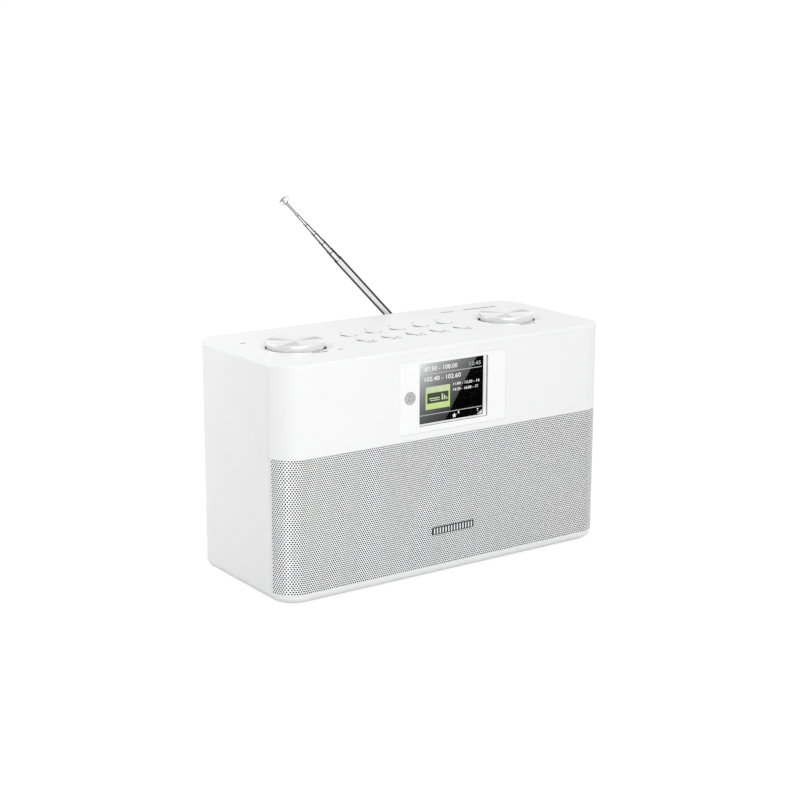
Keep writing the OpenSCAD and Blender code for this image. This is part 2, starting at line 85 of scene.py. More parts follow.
class Mat:
    """A small builder for procedural materials."""

    def __init__(self, name, rough=0.5, metallic=0.0, spec=0.5, coat=0.0, coat_rough=0.05):
        self.m = bpy.data.materials.new(name)
        self.m.use_nodes = True
        self.nt = self.m.node_tree
        self.b = self.nt.nodes["Principled BSDF"]
        self.b.inputs["Roughness"].default_value = rough
        self.b.inputs["Metallic"].default_value = metallic
        self.b.inputs["Specular IOR Level"].default_value = spec
        self.b.inputs["Coat Weight"].default_value = coat
        self.b.inputs["Coat Roughness"].default_value = coat_rough
        self.co = self.nt.nodes.new("ShaderNodeTexCoord")

    def n(self, kind, **kw):
        x = self.nt.nodes.new(kind)
        for k, v in kw.items():
            if k in x.inputs:
                x.inputs[k].default_value = v
            else:
                setattr(x, k, v)
        return x

    def link(self, a, b):
        self.nt.links.new(a, b)

    def coord(self, scale=(1, 1, 1), rot=(0, 0, 0), kind="Object"):
        mp = self.n("ShaderNodeMapping")
        mp.inputs["Scale"].default_value = scale
        mp.inputs["Rotation"].default_value = rot
        self.link(self.co.outputs[kind], mp.inputs["Vector"])
        return mp.outputs["Vector"]

    def noise(self, scale, detail=3.0, rough=0.55, vec=None, stretch=(1, 1, 1)):
        t = self.n("ShaderNodeTexNoise")
        t.inputs["Scale"].default_value = scale
        t.inputs["Detail"].default_value = detail
        t.inputs["Roughness"].default_value = rough
        self.link(vec or self.coord(stretch), t.inputs["Vector"])
        return t.outputs["Fac"]

    def ramp(self, fac, stops):
        r = self.n("ShaderNodeValToRGB")
        el = r.color_ramp.elements
        while len(el) < len(stops):
            el.new(0.5)
        for e, (p, c) in zip(el, stops):
            e.position = p
            e.color = (*c, 1) if len(c) == 3 else c
        self.link(fac, r.inputs["Fac"])
        return r.outputs["Color"]

    def remap(self, fac, lo, hi):
        r = self.n("ShaderNodeMapRange")
        r.inputs["To Min"].default_value = lo
        r.inputs["To Max"].default_value = hi
        self.link(fac, r.inputs["Value"])
        return r.outputs["Result"]

    def math(self, op, a, b=None, clamp=False):
        x = self.n("ShaderNodeMath", operation=op, use_clamp=clamp)
        for i, v in enumerate((a, b)):
            if v is None:
                continue
            if isinstance(v, (int, float)):
                x.inputs[i].default_value = v
            else:
                self.link(v, x.inputs[i])
        return x.outputs[0]

    def bump(self, fac, dist, strength=1.0, prev=None):
        bp = self.n("ShaderNodeBump")
        bp.inputs["Distance"].default_value = dist
        bp.inputs["Strength"].default_value = strength
        self.link(fac, bp.inputs["Height"])
        if prev is not None:
            self.link(prev, bp.inputs["Normal"])
        return bp.outputs["Normal"]

    def colour(self, out):
        self.link(out, self.b.inputs["Base Color"])

    def rough(self, out):
        self.link(out, self.b.inputs["Roughness"])

    def normal(self, out):
        self.link(out, self.b.inputs["Normal"])


def shade(c, k):
    return tuple(min(1.0, max(0.0, v * k)) for v in c)


def plastic(name, base, rough=0.45, grain=0.00004, spread=0.012, spec=0.5, coat=0.0, scale=900.0, matt_below=None):
    """Moulded plastic: faint mottling, a fine moulded grain and a slightly uneven gloss; matt at its lowest edge if asked."""
    m = Mat(name, rough, 0.0, spec, coat)
    if matt_below:
        sep = m.n("ShaderNodeSeparateXYZ")
        m.link(m.co.outputs["Object"], sep.inputs[0])
        up = m.n("ShaderNodeMapRange", interpolation_type="SMOOTHSTEP")
        up.inputs["From Min"].default_value = matt_below * 0.55
        up.inputs["From Max"].default_value = matt_below
        m.link(sep.outputs[2], up.inputs["Value"])
        m.link(m.math("MULTIPLY", up.outputs["Result"], spec), m.b.inputs["Specular IOR Level"])
        if coat:
            m.link(m.math("MULTIPLY", up.outputs["Result"], coat), m.b.inputs["Coat Weight"])
    big = m.noise(22.0, 2.0)
    m.colour(m.ramp(big, [(0.3, shade(base, 1 - spread)), (0.7, shade(base, 1 + spread))]))
    fine = m.noise(scale, 2.0, 0.6)
    m.rough(m.remap(m.noise(60.0, 3.0), rough * 0.92, min(1.0, rough * 1.08)))
    if grain:
        m.normal(m.bump(fine, grain, 0.5))
    return m.m


def metal(name, base, rough=0.25, stretch=(1, 1, 1), scale=400.0, grain=0.00001, metallic=1.0):
    """Metal with fine drawn or turned lines along the unstretched axis."""
    m = Mat(name, rough, metallic)
    lines = m.noise(scale, 4.0, 0.7, stretch=stretch)
    m.colour(m.ramp(lines, [(0.25, shade(base, 0.93)), (0.75, shade(base, 1.04))]))
    m.rough(m.remap(lines, rough * 0.8, rough * 1.25))
    m.normal(m.bump(lines, grain, 0.4))
    return m.m


SHELL = plastic("shell_plastic", (0.845, 0.845, 0.85), rough=0.42, grain=0.00003, matt_below=0.0075)
TOPM = plastic("top_plastic", (0.86, 0.86, 0.862), rough=0.38, grain=0.00003, spread=0.006)
GLOSS = plastic("gloss_white", (0.865, 0.865, 0.868), rough=0.16, grain=0.0, spread=0.005, coat=0.35, matt_below=0.0085)
PANELM = plastic("panel_white", (0.91, 0.91, 0.912), rough=0.16, grain=0.0, spread=0.004, coat=0.35)
# painted shade: near-black grey for the pads and lips that stand in for shade round the knobs and keys
SHADE_SEAL = plastic("painted_shade_grey", (0.05, 0.05, 0.052), rough=0.7, grain=0.0, spread=0.15)
KEYM = plastic("key_plastic", (0.86, 0.86, 0.862), rough=0.30, grain=0.00001, spread=0.006)
BLACKP = plastic("black_plastic", (0.022, 0.022, 0.024), rough=0.48, grain=0.00005, spread=0.15)
COREP = plastic("core_plastic", (0.10, 0.10, 0.105), rough=0.5, spread=0.1)
ACETAL = plastic("acetal", (0.72, 0.72, 0.68), rough=0.35, spread=0.03)
PRINT = plastic("print_grey", (0.13, 0.13, 0.135), rough=0.6, grain=0.0, spread=0.08)
PRINTL = plastic("print_light_grey", (0.30, 0.30, 0.305), rough=0.6, grain=0.0, spread=0.08)


def grille_lacquer():
    m = Mat("grille_lacquer", 0.38, 0.0, 0.5)
    n = m.noise(160.0, 3.0)
    m.colour(m.ramp(n, [(0.3, (0.92, 0.92, 0.922)), (0.7, (0.95, 0.95, 0.952))]))
    # painted light: the lacquer glows faintly, so the grille reads brighter than its lighting alone makes it
    m.link(m.ramp(n, [(0.3, (0.95, 0.95, 0.955)), (0.7, (1.0, 1.0, 1.005))]), m.b.inputs["Emission Color"])
    m.b.inputs["Emission Strength"].default_value = 0.08
    m.rough(m.remap(n, 0.32, 0.44))
    m.normal(m.bump(m.noise(1500.0, 2.0), 0.00001, 0.4))
    return m.m


def punched_edge():
    """The bare cut wall of each hole: grey steel, coloured darker as painted shade inside the holes, rougher where the
    punch broke through.
    """
    m = Mat("punched_edge", 0.5, 0.6)
    n = m.noise(2200.0, 3.0, 0.7)
    m.colour(m.ramp(n, [(0.3, (0.10, 0.10, 0.103)), (0.7, (0.17, 0.17, 0.173))]))
    m.rough(m.remap(n, 0.4, 0.65))
    return m.m


def spun_metal():
    """Turned aluminium: concentric lines and a highlight that spreads round the axis, with painted reflection sectors
    on the face and painted shade on one side of the wall.
    """
    m = Mat("spun_aluminium", 0.24, 1.0)
    m.b.inputs["Anisotropic"].default_value = 0.85
    tg = m.n("ShaderNodeTangent", direction_type="RADIAL", axis="Z")
    m.link(tg.outputs["Tangent"], m.b.inputs["Tangent"])
    sep = m.n("ShaderNodeSeparateXYZ")
    m.link(m.co.outputs["Object"], sep.inputs[0])
    rr = m.math("SQRT", m.math("ADD", m.math("MULTIPLY", sep.outputs[0], sep.outputs[0]), m.math("MULTIPLY", sep.outputs[1], sep.outputs[1])))
    comb = m.n("ShaderNodeCombineXYZ")
    m.link(rr, comb.inputs[0])
    m.link(m.math("MULTIPLY", sep.outputs[2], 0.4), comb.inputs[1])
    lines = m.noise(2600.0, 3.0, 0.75, vec=comb.outputs[0])
    # painted reflection: three soft grey sectors are painted into the turned face's colour, standing in for the dark
    # wedges its highlight leaves
    at = m.math("ARCTAN2", sep.outputs[1], sep.outputs[0])
    sheen_sectors = None
    for a_, wd in ((130.0, 13.0), (0.0, 17.0), (230.0, 22.0)):
        dlt = m.math("SUBTRACT", at, math.radians(a_))
        cosd = m.math("COSINE", dlt)
        g_ = m.n("ShaderNodeMapRange", interpolation_type="SMOOTHSTEP")
        g_.inputs["From Min"].default_value = math.cos(math.radians(wd * 1.35))
        g_.inputs["From Max"].default_value = math.cos(math.radians(wd * 0.35))
        m.link(cosd, g_.inputs["Value"])
        sheen_sectors = g_.outputs["Result"] if sheen_sectors is None else m.math("MAXIMUM", sheen_sectors, g_.outputs["Result"])
    flat = m.n("ShaderNodeNewGeometry")
    nsep = m.n("ShaderNodeSeparateXYZ")
    m.link(flat.outputs["True Normal"], nsep.inputs[0])
    up_ = m.math("GREATER_THAN", nsep.outputs[2], 0.95)
    sheen_sectors = m.math("MULTIPLY", sheen_sectors, up_)
    tone = m.ramp(lines, [(0.3, (0.94, 0.94, 0.945)), (0.7, (1.0, 1.0, 1.0))])
    grey = m.n("ShaderNodeMix", data_type="RGBA")
    m.link(m.math("MULTIPLY", sheen_sectors, 0.95), grey.inputs["Factor"])
    m.link(tone, grey.inputs[6])
    grey.inputs[7].default_value = (0.66, 0.66, 0.665, 1)
    # painted shade: the straight wall's colour is greyer towards one side, where it faces less light
    wall_shade = m.n("ShaderNodeMapRange", interpolation_type="SMOOTHSTEP")
    wall_shade.inputs["From Min"].default_value = -0.55
    wall_shade.inputs["From Max"].default_value = 0.85
    m.link(m.math("COSINE", m.math("SUBTRACT", at, math.radians(165.0))), wall_shade.inputs["Value"])
    wall_ = m.math("LESS_THAN", nsep.outputs[2], 0.5)
    wall_shade_mix = m.n("ShaderNodeMix", data_type="RGBA")
    m.link(m.math("MULTIPLY", m.math("MULTIPLY", wall_shade.outputs["Result"], wall_), 0.30), wall_shade_mix.inputs["Factor"])
    m.link(grey.outputs[2], wall_shade_mix.inputs[6])
    wall_shade_mix.inputs[7].default_value = (0.60, 0.60, 0.605, 1)
    m.colour(wall_shade_mix.outputs[2])
    m.rough(m.remap(lines, 0.24, 0.34))
    m.normal(m.bump(lines, 0.000004, 0.5))
    return m.m


def chrome(name, stops):
    """Polished chrome plate, with a painted reflection: its colour is bright where it faces the eye and has a dark line
    near its edges.
    """
    m = Mat(name, 0.08, 1.0)
    n = m.noise(300.0, 2.0)
    lw = m.n("ShaderNodeLayerWeight")
    lw.inputs["Blend"].default_value = 0.5
    # painted reflection: a Layer Weight ramp sets the colour by how much each point faces the eye
    painted_reflection_edge = m.ramp(lw.outputs["Facing"], [(p_, (c_, c_, c_ * 1.01)) for p_, c_ in stops])
    vary = m.ramp(n, [(0.3, (0.93, 0.93, 0.935)), (0.7, (1.0, 1.0, 1.0))])
    mul = m.n("ShaderNodeMix", data_type="RGBA", blend_type="MULTIPLY")
    mul.inputs["Factor"].default_value = 1.0
    m.link(painted_reflection_edge, mul.inputs[6])
    m.link(vary, mul.inputs[7])
    m.colour(mul.outputs[2])
    m.rough(m.remap(n, 0.05, 0.11))
    return m.m


def cloth():
    m = Mat("acoustic_cloth", 0.95, 0.0, 0.2)
    w = m.n("ShaderNodeTexWave", wave_type="BANDS", bands_direction="X")
    w.inputs["Scale"].default_value = 900.0
    m.link(m.coord(), w.inputs["Vector"])
    w2 = m.n("ShaderNodeTexWave", wave_type="BANDS", bands_direction="Z")
    w2.inputs["Scale"].default_value = 900.0
    m.link(m.coord(), w2.inputs["Vector"])
    mix = m.math("MULTIPLY", w.outputs["Fac"], w2.outputs["Fac"])
    m.colour(m.ramp(mix, [(0.0, (0.012, 0.012, 0.012)), (1.0, (0.035, 0.035, 0.036))]))
    m.normal(m.bump(mix, 0.0001, 0.6))
    return m.m


def rubber():
    m = Mat("rubber", 0.8, 0.0, 0.3)
    n = m.noise(500.0, 3.0)
    m.colour(m.ramp(n, [(0.3, (0.018, 0.018, 0.018)), (0.7, (0.035, 0.035, 0.035))]))
    m.normal(m.bump(n, 0.00008, 0.5))
    return m.m


def pcb():
    m = Mat("solder_resist", 0.35, 0.0, 0.5)
    br = m.n("ShaderNodeTexBrick")
    br.inputs["Scale"].default_value = 130.0
    br.inputs["Mortar Size"].default_value = 0.03
    br.inputs["Color1"].default_value = (0.010, 0.10, 0.045, 1)
    br.inputs["Color2"].default_value = (0.012, 0.12, 0.052, 1)
    br.inputs["Mortar"].default_value = (0.03, 0.20, 0.09, 1)
    m.link(m.coord(), br.inputs["Vector"])
    m.colour(br.outputs["Color"])
    m.normal(m.bump(br.outputs["Fac"], 0.00003, 0.5))
    return m.m


def paper():
    m = Mat("cone_paper", 0.85, 0.0, 0.3)
    n = m.noise(350.0, 5.0, 0.7)
    m.colour(m.ramp(n, [(0.3, (0.02, 0.02, 0.021)), (0.7, (0.045, 0.045, 0.046))]))
    m.normal(m.bump(n, 0.0002, 0.7))
    return m.m


def ferrite():
    m = Mat("ferrite", 0.6, 0.0, 0.4)
    n = m.noise(250.0, 5.0, 0.7)
    m.colour(m.ramp(n, [(0.3, (0.03, 0.03, 0.032)), (0.7, (0.07, 0.07, 0.073))]))
    m.normal(m.bump(n, 0.0001, 0.6))
    return m.m


def smoked():
    m = Mat("smoked_filter", 0.25, 0.0, 0.5, coat=0.2)
    n = m.noise(700.0, 3.0, 0.7)
    m.colour(m.ramp(n, [(0.38, (0.34, 0.34, 0.34)), (0.62, (0.58, 0.58, 0.58))]))
    m.normal(m.bump(n, 0.00003, 0.4))
    return m.m


def clear_pane():
    """Thin clear acrylic: lets light straight through and keeps a faint gloss at grazing angles."""
    m = bpy.data.materials.new("clear_acrylic")
    m.use_nodes = True
    nt = m.node_tree
    nt.nodes.remove(nt.nodes["Principled BSDF"])
    out = nt.nodes["Material Output"]
    tr = nt.nodes.new("ShaderNodeBsdfTransparent")
    tr.inputs["Color"].default_value = (0.985, 0.985, 0.985, 1)
    gl = nt.nodes.new("ShaderNodeBsdfGlossy")
    gl.inputs["Roughness"].default_value = 0.06
    fr = nt.nodes.new("ShaderNodeFresnel")
    fr.inputs["IOR"].default_value = 1.03
    tc = nt.nodes.new("ShaderNodeTexCoord")
    no = nt.nodes.new("ShaderNodeTexNoise")
    no.inputs["Scale"].default_value = 120.0
    rp = nt.nodes.new("ShaderNodeValToRGB")
    rp.color_ramp.elements[0].color = (0.92, 0.92, 0.93, 1)
    rp.color_ramp.elements[1].color = (1, 1, 1, 1)
    mix = nt.nodes.new("ShaderNodeMixShader")
    L = nt.links.new
    L(tc.outputs["Object"], no.inputs["Vector"])
    L(no.outputs["Fac"], rp.inputs["Fac"])
    L(rp.outputs["Color"], gl.inputs["Color"])
    L(fr.outputs["Fac"], mix.inputs["Fac"])
    L(tr.outputs["BSDF"], mix.inputs[1])
    L(gl.outputs["BSDF"], mix.inputs[2])
    L(mix.outputs["Shader"], out.inputs["Surface"])
    return m


def lcd_black():
    """Display face: black, with a painted reflection: a pale glowing sheen that fades from the top left and stops at a
    slanted line.
    """
    m = Mat("lcd_face_painted_reflection", 0.5, 0.0, 0.0)
    n = m.noise(900.0, 2.0)
    m.colour(m.ramp(n, [(0.3, (0.0016, 0.0016, 0.0018)), (0.7, (0.0026, 0.0026, 0.0029))]))
    sep = m.n("ShaderNodeSeparateXYZ")
    m.link(m.co.outputs["Object"], sep.inputs[0])
    x, z = sep.outputs[0], sep.outputs[2]
    ztop = LCD_TOP
    # painted reflection: the sheen glows from the top left and is cut off along a slanted line
    fx = m.math("EXPONENT", m.math("MULTIPLY", m.math("ADD", x, 0.0252), -1 / 0.0268))
    fz = m.math("EXPONENT", m.math("MULTIPLY", m.math("SUBTRACT", ztop, z), -1 / 0.0205))
    line = m.math("SUBTRACT", m.math("SUBTRACT", 0.0241, m.math("MULTIPLY", m.math("SUBTRACT", ztop, z), 0.645)), x)
    painted_reflection_edge = m.math("DIVIDE", line, 0.0004, clamp=True)
    face = m.math("LESS_THAN", sep.outputs[1], LCD_FACE_Y + 0.0006)
    lum = m.math("MULTIPLY", m.math("MULTIPLY", fx, fz), m.math("MULTIPLY", painted_reflection_edge, face))
    painted_sheen = m.math("MULTIPLY", lum, 0.84)
    m.link(m.ramp(painted_sheen, [(0.0, (0, 0, 0)), (1.0, (1.0, 1.0, 1.01))]), m.b.inputs["Emission Color"])
    m.b.inputs["Emission Strength"].default_value = 1.0
    return m.m


def lit(name, base, strength=1.0, spread=0.06):
    """A lit patch of the display, with the faint unevenness of its backlight."""
    m = Mat(name, 0.6, 0.0, 0.2)
    n = m.noise(260.0, 2.0)
    col = m.ramp(n, [(0.3, shade(base, 1 - spread)), (0.7, shade(base, 1 + spread))])
    m.b.inputs["Base Color"].default_value = (0.01, 0.01, 0.01, 1)
    m.link(col, m.b.inputs["Emission Color"])
    m.b.inputs["Emission Strength"].default_value = strength
    return m.m


LCD_FACE_Y = LCD_LO.y
LCD_TOP = LENS_HI.z - 4.3 * MM

GRILLE = grille_lacquer()
PUNCHED_SHADE = punched_edge()
MARGIN = plastic("grille_margin", (0.79, 0.79, 0.792), rough=0.4, grain=0.00001, spread=0.01)
SPUN_PAINTED_SHEEN = spun_metal()
# painted reflection: each list gives the chrome's colour against how much it faces the eye
CHROME = chrome("chrome", [(0.0, 0.98), (0.21, 0.96), (0.29, 0.08), (0.62, 0.015), (0.86, 0.05), (0.96, 0.30)])
CHROMET = chrome("chrome_thin", [(0.0, 0.98), (0.13, 0.94), (0.20, 0.06), (0.62, 0.01), (1.0, 0.02)])
CHROMEC = chrome("chrome_cap", [(0.0, 0.98), (0.56, 0.96), (0.68, 0.10), (0.80, 0.02), (1.0, 0.02)])
CLOTH = cloth()
RUBBER = rubber()
PCB = pcb()
PAPER = paper()
FERRITE = ferrite()
SMOKED = smoked()
CLEAR = clear_pane()
LCDM = lcd_black()


def liner():
    """White wall round the display that glows faintly: painted light that keeps it bright where it lies in shade."""
    m = Mat("window_liner_glow", 0.4, 0.0, 0.3)
    n = m.noise(200.0, 2.0)
    m.colour(m.ramp(n, [(0.3, (0.84, 0.84, 0.84)), (0.7, (0.88, 0.88, 0.88))]))
    m.link(m.ramp(n, [(0.3, (0.96, 0.96, 0.97)), (0.7, (1.0, 1.0, 1.0))]), m.b.inputs["Emission Color"])
    m.b.inputs["Emission Strength"].default_value = 0.5
    return m.m


LINER = liner()
# painted shade: this grey stands in for the shade line along the edge of the display opening
SHADE_GASKET = plastic("window_shade_gasket", (0.58, 0.58, 0.585), rough=0.6, grain=0.0, spread=0.05)
ZINC = metal("plated_steel", (0.55, 0.56, 0.58), 0.3)
BADGE = metal("badge_dark", (0.045, 0.045, 0.048), 0.34, stretch=(0.05, 1, 1), scale=1500.0)
BADGEL = metal("badge_bright", (0.90, 0.90, 0.905), 0.28, stretch=(0.05, 1, 1), scale=1500.0)
SWITCH = plastic("switch_plastic", (0.06, 0.06, 0.062), rough=0.45, spread=0.1)
COMPO = plastic("component_plastic", (0.035, 0.035, 0.037), rough=0.4, spread=0.2)

BY_NODE = {
    "rear_cabinet": SHELL, "top_panel": TOPM, "front_panel": GLOSS, "acoustic_cloth": CLOTH,
    "ir_window": SMOKED, "rubber_feet": RUBBER, "jack_plate": BLACKP, "reflex_port": BLACKP,
    "lcd_module": LCDM, "main_board": PCB, "key_board": PCB, "board_components": COMPO,
    "key_switches": SWITCH, "left_encoder_body": ZINC, "right_encoder_body": ZINC,
    "left_encoder_shaft": ZINC, "right_encoder_shaft": ZINC,
    "left_speaker_frame": BLACKP, "right_speaker_frame": BLACKP,
    "left_speaker_cone": PAPER, "right_speaker_cone": PAPER,
    "left_speaker_magnet": FERRITE, "right_speaker_magnet": FERRITE,
    "speaker_screws": ZINC, "case_screws": ZINC, "board_screws": ZINC,
    "dc_jack": BLACKP, "aux_jack": BLACKP, "headphone_jack": BLACKP,
    "left_press_slider": ACETAL, "right_press_slider": ACETAL,
    "left_knob": COREP, "right_knob": COREP, "antenna_base": BLACKP,
    "antenna_swivel": CHROME, "antenna_hinge_pin": CHROME,
}
for name, ob in NODES.items():
    mt = BY_NODE.get(name, SHELL)
    ob.data.materials.clear()
    ob.data.materials.append(mt)

# ---------------------------------------------------------------- mesh helpers


def obj(name, verts, faces, mat, body, smooth=None, replaces=()):
    me = bpy.data.meshes.new(name)
    me.from_pydata(verts, [], faces)
    me.update()
    o = bpy.data.objects.new(name, me)
    bpy.context.scene.collection.objects.link(o)
    me.materials.append(mat)
    if smooth is not None:
        me.shade_smooth()
        me.set_sharp_from_angle(angle=math.radians(smooth))
    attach(o, body)
    if replaces:
        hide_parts(*replaces)
    return o


def lathe(profile, seg=96, m=Matrix.Identity(4)):
    """Closed solid from (radius, height) points that start and end on the axis."""
    verts, faces, rings = [], [], []
    for r, h in profile:
        if r < 1e-9:
            rings.append([len(verts)])
            verts.append(m @ Vector((0, 0, h)))
        else:
            rings.append(list(range(len(verts), len(verts) + seg)))
            for i in range(seg):
                a = 2 * math.pi * i / seg
                verts.append(m @ Vector((r * math.cos(a), r * math.sin(a), h)))
    for a, b in zip(rings, rings[1:]):
        for i in range(seg):
            j = (i + 1) % seg
            if len(a) == 1 and len(b) == 1:
                break
            if len(a) == 1:
                faces.append((a[0], b[j], b[i]))
            elif len(b) == 1:
                faces.append((a[i], a[j], b[0]))
            else:
                faces.append((a[i], a[j], b[j], b[i]))
    return verts, faces


def tube_faces(profile, seg=48, m=Matrix.Identity(4)):
    """Closed ring solid from (radius, height) points whose last point joins the first."""
    verts, faces = [], []
    k = len(profile)
    for r, h in profile:
        for i in range(seg):
            a = 2 * math.pi * i / seg
            verts.append(m @ Vector((r * math.cos(a), r * math.sin(a), h)))
    for p in range(k):
        q = (p + 1) % k
        for i in range(seg):
            j = (i + 1) % seg
            faces.append((p * seg + i, p * seg + j, q * seg + j, q * seg + i))
    return verts, faces


def arc(cx, cy, r, a0, a1, n):
    return [(cx + r * math.cos(math.radians(a0 + (a1 - a0) * i / n)), cy + r * math.sin(math.radians(a0 + (a1 - a0) * i / n))) for i in range(n + 1)]


def slab(name, loops, y0, y1, mat, body, bevel=0.0, **kw):
    """Plate in the XZ plane from an outer loop and holes, between y0 (front) and y1 (back)."""
    cu = bpy.data.curves.new(name + "_c", "CURVE")
    cu.dimensions = "2D"
    cu.fill_mode = "BOTH"
    cu.extrude = (y1 - y0) / 2 - bevel
    cu.bevel_depth = bevel
    cu.bevel_resolution = 3
    cu.offset = -bevel
    for lp in loops:
        sp = cu.splines.new("POLY")
        sp.points.add(len(lp) - 1)
        for p, (a, b) in zip(sp.points, lp):
            p.co = (a, b, 0, 1)
        sp.use_cyclic_u = True
    tmp = bpy.data.objects.new(name + "_c", cu)
    bpy.context.scene.collection.objects.link(tmp)
    dg = bpy.context.evaluated_depsgraph_get()
    me = bpy.data.meshes.new_from_object(tmp.evaluated_get(dg))
    bpy.data.objects.remove(tmp)
    me.name = name
    me.transform(Matrix.Translation((0, (y0 + y1) / 2, 0)) @ Matrix.Rotation(math.pi / 2, 4, "X"))
    me.materials.clear()
    me.materials.append(mat)
    me.shade_smooth()
    me.set_sharp_from_angle(angle=math.radians(30))
    o = bpy.data.objects.new(name, me)
    bpy.context.scene.collection.objects.link(o)
    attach(o, body)
    if kw.get("replaces"):
        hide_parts(*kw["replaces"])
    return o


def rect(x0, z0, x1, z1, r=0.0, n=6):
    if r <= 0:
        return [(x0, z0), (x1, z0), (x1, z1), (x0, z1)]
    return arc(x1 - r, z0 + r, r, -90, 0, n) + arc(x1 - r, z1 - r, r, 0, 90, n) + arc(x0 + r, z1 - r, r, 90, 180, n) + arc(x0 + r, z0 + r, r, 180, 270, n)


def circle(cx, cz, r, n=48):
    return [(cx + r * math.cos(2 * math.pi * i / n), cz + r * math.sin(2 * math.pi * i / n)) for i in range(n)]


# ---------------------------------------------------------------- perforated grille


